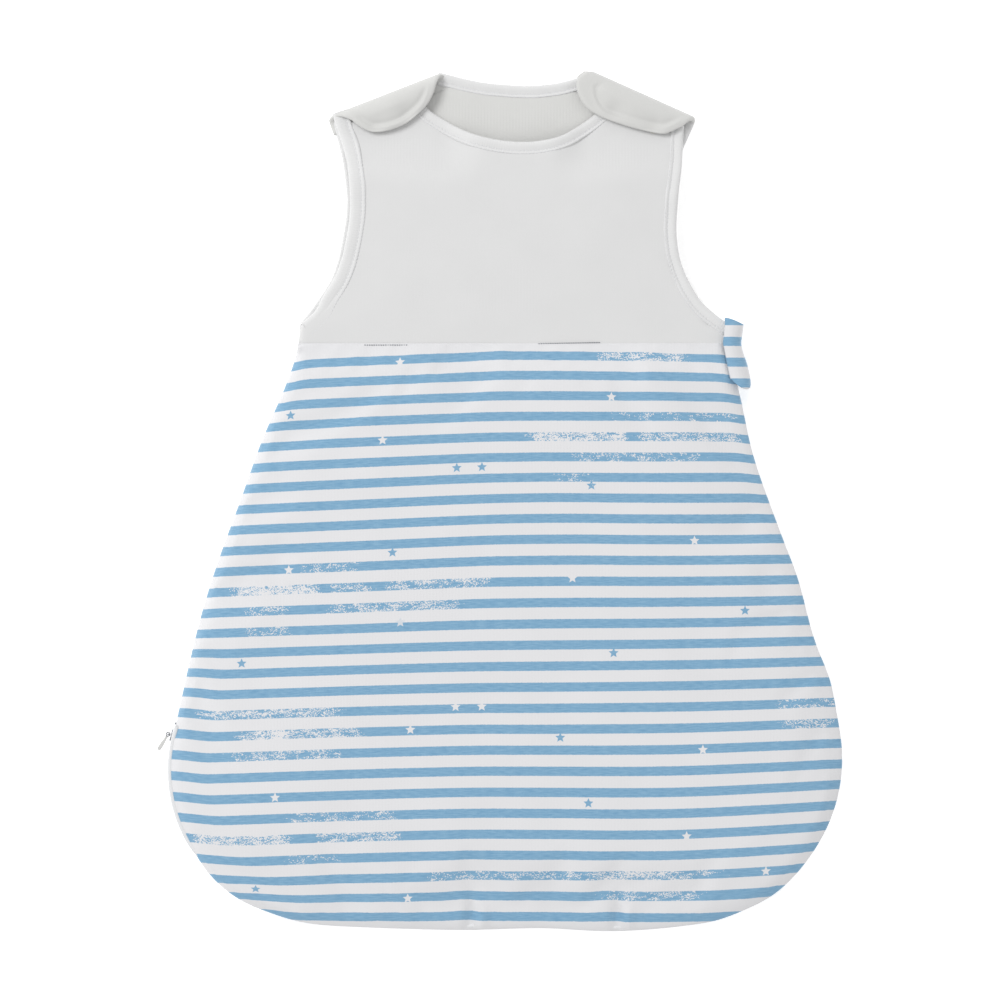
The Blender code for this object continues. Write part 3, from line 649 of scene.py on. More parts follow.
def woven_tape():
    """Woven polyester tape: a fine herringbone with a slight gloss along its filaments."""
    material, tree = new_material("woven_polyester_tape")
    place = cloth_mm(tree)
    turned = add(tree, "Mapping", {"Vector": place, "Rotation": (0, 0, math.radians(45))})[0]
    weave = add(tree, "TexWave", {"Vector": turned, "Scale": 0.35, "Distortion": 0.4})["Fac"]
    tone = add(tree, "Mix", {"Factor": weave, "A": linear("#D4D5D7"), "B": linear("#E2E3E4")},
               data_type="RGBA")
    normal = add(tree, "Bump", {"Height": weave, "Strength": 0.6, "Distance": 0.1 * MM})[0]
    finish_material(tree, {"Base Color": tone["Result"], "Roughness": 0.6, "Sheen Weight": 0.15, "IOR": 1.5,
                           "Normal": normal})
    return material


def nylon_coil():
    """Drawn nylon monofilament: smooth, milky and a little glossy."""
    material, tree = new_material("drawn_nylon_monofilament")
    tone, cloud = mottled(tree, cloth_mm(tree), 0.4, 2.0, "#E4E5E6", "#D9DADC")
    rough = add(tree, "MapRange", {"Value": cloud, "To Min": 0.3, "To Max": 0.45})[0]
    finish_material(tree, {"Base Color": tone, "Roughness": rough, "IOR": 1.53, "Coat Weight": 0.15})
    return material


def sewing_thread(name, light, shade):
    """Spun polyester thread, with a slight twist and a soft gloss."""
    material, tree = new_material(name)
    place = cloth_mm(tree)
    twist = add(tree, "TexWave", {"Vector": place, "Scale": 1.2, "Distortion": 1.0})["Fac"]
    tone = add(tree, "Mix", {"Factor": twist, "A": linear(shade), "B": linear(light)}, data_type="RGBA")
    finish_material(tree, {"Base Color": tone["Result"], "Roughness": 0.55, "Sheen Weight": 0.2, "IOR": 1.5})
    return material


PRINT = printed_cotton()
WHITE = soft_cotton("white_cotton_jersey", "#D7D7D7", "#D2D2D2", bump=0.02)
# A darker, slightly warmer copy of the yoke's white jersey for the strap flaps: painted shade on them
STRAP_WHITE_SHADED = soft_cotton("white_cotton_jersey_painted_shade", "#CFCFCD", "#C9C9C7", bump=0.03)
LINING = soft_cotton("white_cotton_lining", "#D3D3D1", "#CDCDCB")
BAND = rib_binding()
TAPE = woven_tape()
NYLON = nylon_coil()
# Die-cast zinc, tumbled and plated pale grey: soft highlights, with duller rubbed patches
ZINC = hard_finish("plated_die_cast_zinc", 900.0, 4.0, "#A6A8AC", "#8F9196", (0.26, 0.46),
                   {"Metallic": 1.0}, bump=0.02)
# Zinc stamping under white stoving enamel: smooth and glossy, with the coat a little uneven in tone
ENAMEL = hard_finish("white_enamelled_zinc", 600.0, 3.0, "#BEBEBC", "#D6D6D4", (0.28, 0.4),
                     {"IOR": 1.5, "Coat Weight": 0.3})
# Nickel-plated brass, stamped and turned: bright, with faint unevenness from the press
BRASS = hard_finish("nickel_plated_brass", 1400.0, 3.0, "#D8D6D0", "#CBC9C4", (0.18, 0.34), {"Metallic": 1.0})
THREAD = sewing_thread("spun_polyester_thread", "#E3E3E5", "#D2D3D6")
# Real stitches drawn in dark grey: painted shade of the seam's sunken needle holes
SHADED_THREAD = sewing_thread("spun_polyester_thread_painted_shade", "#6E727C", "#5E626C")


# ---------------------------------------------------------------- the bag

HINGES = {joint["name"]: joint for joint in frame["joints"]}


def joint_axes(name):
    """A joint's place in millimetres and the direction of its axis."""
    joint = HINGES[name]
    return np.array(joint["pos_m"]) / MM, np.array(joint["axis"])


def strap_axes(side):
    """The fold's start, its direction and the direction inwards from it."""
    pos, axis = joint_axes(f"strap_{side}_fold")
    along = -axis[:2] / np.linalg.norm(axis[:2])
    inward = np.array([along[1], -along[0]])
    return pos[:2] + inward, along, inward, pos[2]


def bend_with_flap(piece):
    """Bakes a piece of the front into place as it lies, without folding it."""
    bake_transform(piece)


def skirt_edge(spacing=4.0):
    """The skirt's outline, from the left end of the yoke's seam down and round to its right end. The wadding
    rounds it and pushes it out a little, most of all at the two bottom corners."""
    loop = sheet_edge("back_skirt_shell")[:, :2]
    top = np.flatnonzero(loop[:, 1] > SEAM_Y - 0.05)
    first = top[np.argmin(loop[top, 0])]
    edge = smooth_line(np.roll(loop, -first, axis=0), spacing)
    for _ in range(8):
        edge[1:-1] = (edge[:-2] + 2 * edge[1:-1] + edge[2:]) / 4
    x, y = edge.T
    corner = np.exp(-((y + 300) / 22) ** 2) * ease((np.abs(x - 5) - 110) / 60)
    reach = (1.1 + 2.0 * corner) * ease((SEAM_Y - y) / 30)
    return edge + side_of(edge) * reach[:, None]


ZIP_LEFT_Y, ZIP_RIGHT_Y = -165.0, 82.0


def zipped(points):
    """1 where the skirt's edge opens by the zip, and 0 where it is sewn."""
    x, y = points[:, 0], points[:, 1]
    return np.where(x < 0, ease((ZIP_LEFT_Y - y) / 12), ease((ZIP_RIGHT_Y - y) / 12))


def welt_shown(points):
    """1 where the front tape's edge stands out past the print, down the lower left side, and 0 elsewhere."""
    x, y = points[:, 0], points[:, 1]
    return ease((-x - 150) / 30) * ease((y + 285) / 30)


def closed_skirt(edge, spacing=4.0):
    """The outline closed along the yoke's seam, and 1 for each point on that seam."""
    steps = round((edge[-1, 0] - edge[0, 0]) / spacing)
    height = np.interp(np.arange(steps - 1), (0, steps - 2), (edge[-1, 1], edge[0, 1]))
    seam = np.column_stack([np.linspace(edge[-1, 0], edge[0, 0], steps + 1)[1:-1], height])
    on_seam = np.concatenate([np.zeros(len(edge)), np.ones(steps - 1)])
    on_seam[[0, -steps, len(edge) - 1]] = 1
    return np.vstack([edge, seam]), on_seam


# Where the hem's stitching has gathered the cloth into short puckers
HEM_PUCKERS, HEM_Y = (-26.0, 85.0), -270.0


# Heights at which the cloths of front and back meet, where the edge is sewn, and how far the zip parts them
FRONT_RIM, BACK_RIM, FRONT_PARTED, BACK_PARTED = 11.4, 10.9, 5.6, 6.5


def build_front_skirt(edge):
    """The front skirt, in one piece."""
    loop, on_seam = closed_skirt(edge)
    zip_share = zipped(loop) * (1 - on_seam)
    out = side_of(loop, closed=True)
    drawn_in = 0.4 + 1.7 * zip_share * welt_shown(loop)
    loop = loop - out * (drawn_in * (1 - on_seam))[:, None]
    rim = FRONT_RIM + FRONT_PARTED * zip_share
    rim = np.where(on_seam > 0, 18.6, rim)
    width = np.where(on_seam > 0, 2.4, 9.0 + 4.0 * zip_share * ease(loop[:, 0] / 120))

    def top(x, y, gap):
        beside_seam = ease((SEAM_Y - y) / 26)
        pucker = sum(np.exp(-((x - at - 0.06 * gap) / 3.4) ** 2) - 0.6 * np.exp(-((x - at - 8) / 3.8) ** 2)
                     for at in HEM_PUCKERS) * ease((34 - gap) / 22) * (y < HEM_Y)
        base = YOKE_FRONT_TOP + 0.4 + (FRONT_TOP - YOKE_FRONT_TOP - 0.4) * beside_seam
        crown = 2.6 * (1 - np.exp(-(gap / 75) ** 2)) * beside_seam
        return base + crown + 0.35 * ripple(x, y, 42, 1.0) + 0.5 * ripple(x, y, 95, 4.0) - 4.2 * pucker

    def low(x, y, gap):
        return FRONT_LOW + 0.25 * ripple(x, y, 50, 7.0)

    piece = pad("front_skirt", loop, rim, width, top, low, (PRINT, LINING), True, cloth_place,
                fill={"grow": 0.006, "pressure": 1.2, "most": 5.0})
    settle(piece, None, "print_jersey", *[f"front_skirt_{part}_{layer}" for part in ("upper", "lower")
                                          for layer in ("shell", "wadding", "lining")])
    bend_with_flap(piece)


def build_back_skirt(edge):
    """The back skirt, which lies flat with its lining up."""
    loop, on_seam = closed_skirt(edge)
    out = side_of(loop, closed=True)
    zip_share = zipped(loop) * (1 - on_seam)
    loop = loop - out * (0.8 + 1.6 * zip_share)[:, None] * (1 - on_seam)[:, None]
    rim = np.where(on_seam > 0, 2.2, BACK_RIM - BACK_PARTED * zip_share)
    width = np.where(on_seam > 0, 1.5, 6.0)

    def top(x, y, gap):
        return BACK_TOP - 0.6 + 0.3 * ripple(x, y, 50, 11.0) - 3.2 * ease(1 - (SEAM_Y - y) / 14)

    def low(x, y, gap):
        return np.zeros(len(x)) + 0.05

    piece = pad("back_skirt", loop, rim, width, top, low, (PRINT, LINING), False, cloth_place, spacing=6.0)
    settle(piece, "bag", "print_jersey", "back_skirt_shell", "back_skirt_wadding", "back_skirt_lining")


def grown_yoke(node, corners, shoulder):
    """A yoke's outline, let out under its bands, filled out to its underarm corners and up to the straps."""
    loop = sheet_edge(node)[:, :2]
    loop = np.roll(loop, -np.argmin(loop[:, 0] + 0.001 * loop[:, 1]), axis=0)
    seam = loop[loop[:, 1] < SEAM_Y + 0.6] - (0, 0.35)
    loop = np.vstack([seam[np.argsort(seam[:, 0])], corners[1], loop[loop[:, 1] > SEAM_Y + 11.5], corners[0]])
    loop = even_line(np.vstack([loop, loop[:1]]), 3.2)[:-1]
    free = ease((loop[:, 1] - SEAM_Y - 13.0) / 8.0)
    reach = 3.0 * free
    for side in ("left", "right"):
        origin, along, inward, _ = strap_axes(side)
        u, v = (loop - origin) @ along, (loop - origin) @ inward
        top = ease((23.0 - v) / 3.0) * (u > -25) * (u < 95)
        reach = np.maximum(reach, shoulder * top)
    return loop + side_of(loop, closed=True) * reach[:, None]


UNDERARM_CORNERS = ((-154.6, 134.0), (170.6, 131.6))


def build_yokes():
    """The front yoke, which drops at the shoulders, and the flat back yoke."""
    loop = grown_yoke("front_yoke_shell", UNDERARM_CORNERS, 8.0)
    fall = drop_at(loop[:, 0], loop[:, 1])
    on_seam = loop[:, 1] < SEAM_Y + 0.6
    rim = np.where(on_seam, 18.45, 16.0) - fall
    width = np.where(on_seam, 2.4, 4.0)

    def top(x, y, gap):
        flat = 1 - drop_at(x, y) / SHOULDER_DROP
        puff = 1.1 * (1 - np.exp(-(gap / 30) ** 2))
        puff = puff + 0.3 * ripple(x, y, 38, 2.0) + 0.45 * ripple(x, y, 85, 5.0)
        return YOKE_FRONT_TOP - 0.25 - drop_at(x, y) + puff * flat

    def low(x, y, gap):
        return YOKE_FRONT_LOW - drop_at(x, y) + 0.1 * ripple(x, y, 40, 8.0)

    piece = pad("front_yoke", loop, rim, width, top, low, (WHITE, LINING), True, spacing=4.5)
    settle(piece, "bag", "white_jersey", "front_yoke_shell", "front_yoke_wadding", "front_yoke_lining")

    loop = grown_yoke("back_yoke_shell", UNDERARM_CORNERS, 5.0)
    rim, width = np.full(len(loop), 2.2), np.where(loop[:, 1] > SEAM_Y + 0.6, 3.0, 1.5)
    piece = pad("back_yoke", loop, rim, width,
                lambda x, y, gap: YOKE_BACK_TOP - 0.2 + 0.25 * ripple(x, y, 36, 3.0),
                lambda x, y, gap: np.full(len(x), 0.05), (WHITE, LINING), False, spacing=4.5)
    settle(piece, "bag", "white_jersey", "back_yoke_shell", "back_yoke_wadding", "back_yoke_lining")


# Section of a folded band, inwards from the open edge: a soft outer roll, then the step and the
# ridge that its two lines of stitching make
BAND_SECTION = [(-0.5, 0.3), (0.0, 1.6), (-0.2, 3.2), (-1.1, 4.5), (-2.8, 5.0), (-5.0, 4.75), (-6.4, 4.35),
                (-7.0, 4.2), (-7.7, 4.75), (-8.8, 4.95), (-9.6, 4.45), (-9.9, 3.4), (-9.9, 0.9), (-9.0, 0.15),
                (-4.0, 0.0)]


def band(name, node, extend, wide=1.0):
    """A binding along the open edge of its packed strip, with two lines of stitching. It is carried on past
    the strip's lower and upper ends, or a neck's left and right ones, by the lengths in extend."""
    outer = outward_path(strip_sides(node, np.array([5.0, 200.0])))[0]
    path = smooth_line(outer, 2.5)
    key = 0 if "neck" in node else 1
    if path[0, key] > path[-1, key]:
        extend = extend[::-1]
    ends = []
    for end, before, reach in ((path[0], path[1], extend[0]), (path[-1], path[-2], extend[1])):
        away = (end - before) * (1, 1, 0) / np.linalg.norm((end - before)[:2])
        ends.append([end + away * step for step in np.arange(2.5, reach + 1.3, 2.5)])
    path = np.vstack([*ends[0][::-1], path, *ends[1]])
    run = run_of(path)
    path[:, :2] += side_of(path[:, :2]) * (0.22 * ripple(run, run * 0, 26, len(name)))[:, None]
    if name == "armhole_band_front_left":
        path[:, :2] -= side_of(path[:, :2]) * (3.0 * np.exp(-((path[:, 1] - 145) / 9) ** 2))[:, None]
    sizes = 1 + 0.035 * ripple(run, run * 0, 17, 2.0 + len(name))
    piece = sweep(name, path, rounded(BAND_SECTION, 2) * (wide, 1.0), BAND, sizes)
    settle(piece, "bag", "white_jersey", node)
    for row, (inset, height) in enumerate(((7.0, 4.35), (9.0, 4.95))):
        line = np.column_stack([path[:, :2] - side_of(path[:, :2]) * inset * wide, path[:, 2] + height])
        thread = stitches(f"{name}_stitching_{row + 1}", line, material=THREAD)
        settle(thread, "bag", "white_jersey")


def build_bands():
    band("neck_band_front", "neck_binding_front", (0.0, 0.0))
    band("neck_band_back", "neck_binding_back", (6.0, 6.0))
    band("armhole_band_front_left", "armhole_binding_front_left", (1.0, 17.0), 1.25)
    band("armhole_band_front_right", "armhole_binding_front_right", (1.0, 11.0))
    band("armhole_band_back_left", "armhole_binding_back_left", (0.0, 12.0))
    band("armhole_band_back_right", "armhole_binding_back_right", (0.0, 12.0))


# (name, from x, to x, rise over the stretch), and the height at which these stitches lie
SLACK_STITCHES = (("yoke_seam_stitches_left", -107.0, -73.5, 0.0),
                  ("yoke_seam_stitches_right", 25.0, 73.0, 1.0))
SLACK_STITCH_Z, SIDE_WELT_Z = 19.25, 11.15
WELT_SECTION = [(0.25, 0.0), (0.0, 0.55), (-0.6, 0.7), (-1.2, 0.45), (-1.2, -0.45), (-0.6, -0.7),
                (0.0, -0.55)]


def build_seams():
    """The joining seam of yoke and front skirt, and the two sewn stretches of side."""
    # The seam's stitches are drawn tight for most of its length, and they show where they slacken. There they
    # are drawn in dark grey thread, a painted shade of their sunken needle holes.
    for name, start, end, lift in SLACK_STITCHES:
        line = np.array([(start, SEAM_Y - 1.4 + lift, SLACK_STITCH_Z),
                         (end, SEAM_Y - 1.4 + lift * 2, SLACK_STITCH_Z)])
        settle(stitches(name, even_line(line, 3.0), 1.75, 1.25, 0.42, SHADED_THREAD), "bag", "white_jersey")
    for side in ("left", "right"):
        node = f"side_seam_{side}"
        outer = outward_path(strip_sides(node))[0]
        path = shifted(smooth_line(outer, 3.0), 0.3, SIDE_WELT_Z)
        piece = sweep(f"side_seam_welt_{side}", path, rounded(WELT_SECTION, 2), WHITE)
        settle(piece, "bag", "white_jersey", node)


def coil(name, path, up, material, phase=0.0, pitch=1.45):
    """A zip's coil: nylon wound in flat turns along the edge of its tape."""
    run = run_of(path)
    steps = int(run[-1] / pitch) * 7
    turn = np.arange(steps) / 7 + phase
    at = np.clip(turn * pitch, 0, run[-1])
    centre = np.column_stack([np.interp(at, run, column) for column in path.T])
    side = side_of(centre[:, :2])
    out = 0.75 * np.cos(math.tau * turn)
    rise = up * (0.35 + 1.0 * np.sin(math.tau * turn))
    line = np.column_stack([centre[:, :2] + side * out[:, None], centre[:, 2] + rise])
    along = np.gradient(line, axis=0)
    along /= np.linalg.norm(along, axis=1)[:, None]
    first = np.cross(along, (0, 0, 1))
    first /= np.linalg.norm(first, axis=1)[:, None]
    second = np.cross(along, first)
    ring = [(math.cos(math.tau * k / 5) * 0.34, math.sin(math.tau * k / 5) * 0.34) for k in range(5)]
    points = np.stack([line + first * c + second * s for c, s in ring], axis=1).reshape(-1, 3)
    cloth = np.column_stack([np.repeat(at, 5), np.tile(np.arange(5.0), steps)])
    return make(name, points, tube_faces(steps, 5), [material], cloth)


# The front tape's edge is folded out from under the print, where it shows as a narrow white welt
FRONT_TAPE = [(-0.9, -4.0), (-0.35, -4.0), (-0.15, -1.4), (-0.2, 0.4), (-0.9, 1.5), (-2.2, 1.8), (-3.4, 1.3),
              (-3.6, 0.4), (-2.2, 0.2), (-1.1, -0.3)]
BACK_TAPE = [(-0.9, 5.0), (-0.35, 5.0), (-0.15, 2.2), (-0.2, 0.4), (-0.9, -1.0), (-2.2, -1.6), (-3.0, -1.0),
             (-2.0, 0.0), (-1.1, 1.2)]


FRONT_TAPE_Z, BACK_TAPE_Z, FRONT_COIL_Z, BACK_COIL_Z = 17.2, 4.0, 12.2, 10.2


def build_zip():
    """Both tapes, both halves of the coil, and the stitching along the front tape."""
    outer = outward_path(strip_sides("zip_tape_back"))[0]
    level = shifted(smooth_line(outer, 3.0), 0.3, 0.0)
    piece = sweep("zip_tape_back_woven", shifted(level, 0.0, BACK_TAPE_Z), rounded(BACK_TAPE, 2), TAPE)
    settle(piece, "bag", "zip_tape", "zip_tape_back")
    front = shifted(level, 0.9 - 1.5 * (1 - welt_shown(level)), FRONT_TAPE_Z)
    piece = sweep("zip_tape_front_woven", front, rounded(FRONT_TAPE, 2), TAPE)
    settle(piece, None, "zip_tape", "zip_tape_front", "zip_tape_front_end")
    bend_with_flap(piece)
    piece = coil("zip_coil_front_turns", shifted(level, -0.9, FRONT_COIL_Z), 1, NYLON, 0.5)
    settle(piece, None, "zip_coil", "zip_coil_front", "zip_coil_front_end")
    bend_with_flap(piece)
    piece = coil("zip_coil_back_turns", shifted(level, -0.9, BACK_COIL_Z), -1, NYLON)
    settle(piece, "bag", "zip_coil", "zip_coil_back")
    inset = shifted(front, -1.2, FRONT_TAPE_Z + 1.55)
    piece = stitches("zip_front_stitching", inset, 3.0, 2.2, 0.22, THREAD)
    settle(piece, None, "zip_tape")
    bend_with_flap(piece)


def solid(name, bm, material, bevel=0.0, segments=2):
    """A hard piece from a bmesh in millimetres, with its edges eased."""
    bmesh.ops.recalc_face_normals(bm, faces=bm.faces)
    if bevel:
        sharp = [e for e in bm.edges if len(e.link_faces) == 2 and e.calc_face_angle() > math.radians(35)]
        bmesh.ops.bevel(bm, geom=sharp, offset=bevel, segments=segments, affect="EDGES", profile=0.6,
                        clamp_overlap=True)
    bmesh.ops.scale(bm, vec=(MM, MM, MM), verts=bm.verts)
    mesh = bpy.data.meshes.new(name)
    bm.to_mesh(mesh)
    bm.free()
    mesh.materials.append(material)
    mesh.shade_smooth()
    mesh.set_sharp_from_angle(angle=math.radians(42))
    piece = bpy.data.objects.new(name, mesh)
    bpy.context.scene.collection.objects.link(piece)
    return piece


def prism(bm, outline, low, high, axes, origin):
    """A plate: an outline in the first two axes, between two heights on the third."""
    first, second, third = (Vector(a) for a in axes)
    origin = Vector(origin)
    face = bm.faces.new([bm.verts.new(origin + first * p + second * q + third * low) for p, q in outline])
    grown = bmesh.ops.extrude_face_region(bm, geom=[face], use_keep_orig=True)
    verts = [v for v in grown["geom"] if isinstance(v, bmesh.types.BMVert)]
    bmesh.ops.translate(bm, vec=third * (high - low), verts=verts)


def build_slider():
    """Slider body, the bar over it and the pull that hangs from the bar."""
    centre = joint_axes("slider_run")[0]
    bar = joint_axes("pull_swing")[0]
    out = (bar - centre) / np.linalg.norm(bar - centre)
    along = np.array([-out[1], out[0], 0.0])
    up = np.array([0.0, 0.0, 1.0])
    at = bar - out * 3.9
    wide, narrow, half = 3.9, 3.0, 4.5
    shield = [(-half, -narrow), (-half + 1.5, -narrow), (0.5, -wide), (half - 1.2, -wide),
              (half, -wide + 1.4), (half, wide - 1.4), (half - 1.2, wide), (0.5, wide),
              (-half + 1.5, narrow), (-half, narrow)]
    bm = bmesh.new()
    for low, high in ((-3.1, -1.9), (0.7, 1.9)):
        prism(bm, shield, low, high, (along, up, out), at)
    wedge = [(0.6, -0.8), (half - 0.6, -0.5), (half - 0.6, 0.5), (0.6, 0.8)]
    prism(bm, wedge, -2.4, 1.2, (along, up, out), at)
    for side in (-1, 1):
        flange = [(-half, side * narrow), (half - 1.2, side * wide), (half - 1.2, side * (wide - 0.7)),
                  (-half, side * (narrow - 0.7))]
        prism(bm, flange, 0.1, 1.0, (along, up, out), at)
        prism(bm, flange, -2.2, -1.6, (along, up, out), at)
    piece = solid("zip_slider_body", bm, ZINC, 0.3)
    settle(piece, "slider", "zip_metal", "zip_slider")
    bm = bmesh.new()
    lug = [(1.6, -2.3), (3.9, -2.3), (4.5, -1.7), (4.5, 1.7), (3.9, 2.3), (1.6, 2.3), (1.6, 1.7), (3.3, 1.7),
           (3.3, -1.7), (1.6, -1.7)]
    prism(bm, lug, -0.6, 0.6, (out, up, along), at)
    settle(solid("zip_slider_bridge", bm, ZINC, 0.25), "slider", "zip_metal")

    tab = frame["nodes"]["zip_pull"].data
    spots = np.array([v.co for v in tab.vertices]) / MM
    tip = spots[np.argmax(np.linalg.norm(spots[:, :2] - bar[:2], axis=1))]
    heading = np.array([*(tip - bar)[:2], 0.0])
    length = np.linalg.norm(heading)
    heading /= length
    across = np.array([-heading[1], heading[0], 0.0])
    bm = bmesh.new()
    ring = [(math.cos(math.tau * k / 24), math.sin(math.tau * k / 24)) for k in range(24)]
    rows = []
    for radius, z in ((1.15, -0.9), (1.15, 0.9), (1.85, 1.1), (1.85, -1.1)):
        rows.append([bm.verts.new(Vector(bar + heading * c * radius + across * s * radius + up * z))
                     for c, s in ring])
    for a, b in zip(rows, rows[1:] + rows[:1]):
        for k in range(24):
            bm.faces.new((a[k], a[(k + 1) % 24], b[(k + 1) % 24], b[k]))
    settle(solid("zip_pull_eye", bm, ZINC, 0.15), "pull", "zip_metal", "zip_pull")
    bm = bmesh.new()
    tab = [(1.6, -1.0), (4.0, -0.95), (length * 0.6, -1.45), (length - 1.2, -1.55), (length, -0.7),
           (length, 0.7), (length - 1.2, 1.55), (length * 0.6, 1.45), (4.0, 0.95), (1.6, 1.0)]
    prism(bm, tab, -0.6, 0.6, (heading, across, up), bar)
    settle(solid("zip_pull_tab", bm, ENAMEL, 0.25), "pull", "zip_metal")

    low, high = box_mm("zip_end_stop")
    middle = (low + high) / 2
    out = (middle - centre) * (1, 1, 0)
    out /= np.linalg.norm(out)
    along = np.array([-out[1], out[0], 0.0])
    bm = bmesh.new()
    staple = [(-0.6, -2.0), (0.5, -2.0), (0.9, -1.6), (0.9, 1.6), (0.5, 2.0), (-0.6, 2.0), (-0.6, 1.4),
              (0.3, 1.4), (0.3, -1.4), (-0.6, -1.4)]
    prism(bm, staple, -0.75, 0.75, (out, up, along), middle)
    settle(solid("zip_end_staple", bm, ZINC, 0.2), "bag", "zip_metal", "zip_end_stop")


# The guard is cut from a lower part of the cloth, so many stripes down
GUARD_PRINT_SHIFT = 4.6 - 6 * STRIPE_PITCH
GUARD_SECTION = [(-3.4, 22.6), (-1.5, 24.0), (2, 24.6), (6, 23.2), (9.2, 19.8), (10.6, 14.5), (10.4, 8.5),
                 (8.2, 3.6), (4.5, 1.2), (2.0, 0.9)]


def build_guard():
    """The loop of cloth over the zip's upper end, sewn to the front and back edges at its sides."""
    outer = outward_path(strip_sides("side_seam_right"))[0]
    order = np.argsort(outer[:, 1])
    section = smooth_line(GUARD_SECTION, 1.2)
    run = run_of(section)
    share = run / run[-1]
    low, high = (corner[1] for corner in box_mm("zip_guard"))
    steps = 44
    grids = []
    for thickness in (0.0, 1.2):
        rows = []
        for k in range(steps + 1):
            t = k / steps
            row = []
            for (out, z), part, p in zip(section, share, side_of(section)):
                # The ends are cut on a curve: high beside the bag, and rounded off below
                top = high + 0.8 - 4.6 * ease(part * 2.2)
                bottom = low + 1.6 + 8.5 * (2 * abs(min(part, 0.56) - 0.28) / 0.56) ** 2
                y = bottom + (top - bottom) * t
                edge_x = np.interp(y, outer[order, 1], outer[order, 0])
                swell = 1 + 0.10 * math.exp(-((y - 96) / 12) ** 2) + 0.02 * math.sin(y / 5)
                sink = 0.6 * math.exp(-(part / 0.05) ** 2) + 0.5 * math.exp(-((1 - part) / 0.05) ** 2)
                row.append((edge_x + out * swell + p[0] * (-thickness + sink) * -1, y,
                            z + p[1] * (-thickness + sink) * -1))
            rows.append(row)
        grids.append(np.array(rows))
    rows, columns = grids[0].shape[:2]
    points = np.vstack([g.reshape(-1, 3) for g in grids])
    faces = []
    for offset in (0, rows * columns):
        faces += [(offset + r * columns + c, offset + r * columns + c + 1, offset + (r + 1) * columns + c + 1,
                   offset + (r + 1) * columns + c) for r in range(rows - 1) for c in range(columns - 1)]
    rim = [(r, 0) for r in range(rows)] + [(rows - 1, c) for c in range(1, columns)]
    rim += [(r, columns - 1) for r in range(rows - 2, -1, -1)] + [(0, c) for c in range(columns - 2, 0, -1)]
    rim = [r * columns + c for r, c in rim]
    below = rows * columns
    faces += [(a, b, b + below, a + below) for a, b in zip(rim, rim[1:] + rim[:1])]
    cloth = np.column_stack([np.tile(run, 2 * rows) + 210, points[:, 1] + GUARD_PRINT_SHIFT])
    piece = make("zip_guard_loop", points, faces, [PRINT], cloth, wear=np.zeros(len(points)))
    settle(piece, "bag", "print_jersey", "zip_guard")


# ---------------------------------------------------------------- straps and press studs

STRAP_THICKNESS = 3.6
# The two side edges of each strap where it leaves the back and rolls over, by length along it from the fold
STRAP_REACH = (-18.0, -11.0, -5.0, -1.5, 3.0)
STRAP_EDGES = {"left": ((-8.0, -8.0, -7.5, -4.5, 2.0), (88.0, 88.0, 86.5, 84.8, 82.0)),
               "right": ((-15.0, -15.0, -12.0, -6.0, -10.5), (81.2, 81.2, 80.8, 80.0, 77.8))}


def strap_stations(centre_z, depth):
    """Places along a strap, from under the back yoke, round the roll and out to its tip: how far in,
    how high, which way its outer face looks, and how much cloth it takes to get there."""
    radius = centre_z - STRAP_THICKNESS / 2 - 0.1
    stations = [(v, centre_z - radius, 0, -1, -radius * math.pi - (v - centre_z)) for v in (15, 12.5, 10)]
    for angle in np.radians(np.linspace(-90, 90, 17)):
        c, s = math.cos(angle), math.sin(angle)
        length = -radius * (math.pi / 2 - angle)
        stations.append((centre_z - radius * c, centre_z + radius * s, -c, s, length))
    flap = centre_z + (depth - centre_z) * np.sin(np.linspace(0, math.pi / 2, 26)[1:])
    return stations + [(v, centre_z + radius, 0, 1, v - centre_z) for v in flap]


def strap_puff(side, u, v, gap):
    """How much the flap's face stands up: a bound edge with its ridge, a stitched groove, then the pad."""
    if side == "left":
        ridge = 3.2 + 2.5 * ease((u - 60) / 18)
    else:
        ridge = 4.2 + 10.5 * ease((16 - u) / 24)
    puff = 0.5 * np.exp(-((gap - ridge) / 1.3) ** 2) - 0.9 * np.exp(-((gap - ridge - 3.0) / 2.0) ** 2)
    puff += 1.9 * (1 - np.exp(-(np.maximum(gap - ridge - 2, 0) / 8) ** 2))
    uneven = 0.3 * ripple(u.ravel(), v.ravel(), 15, 3.0 + len(side))
    uneven += 0.5 * ripple(u.ravel(), v.ravel(), 34, 6.0)
    return puff + uneven.reshape(u.shape) * ease((gap - 2) / 5)


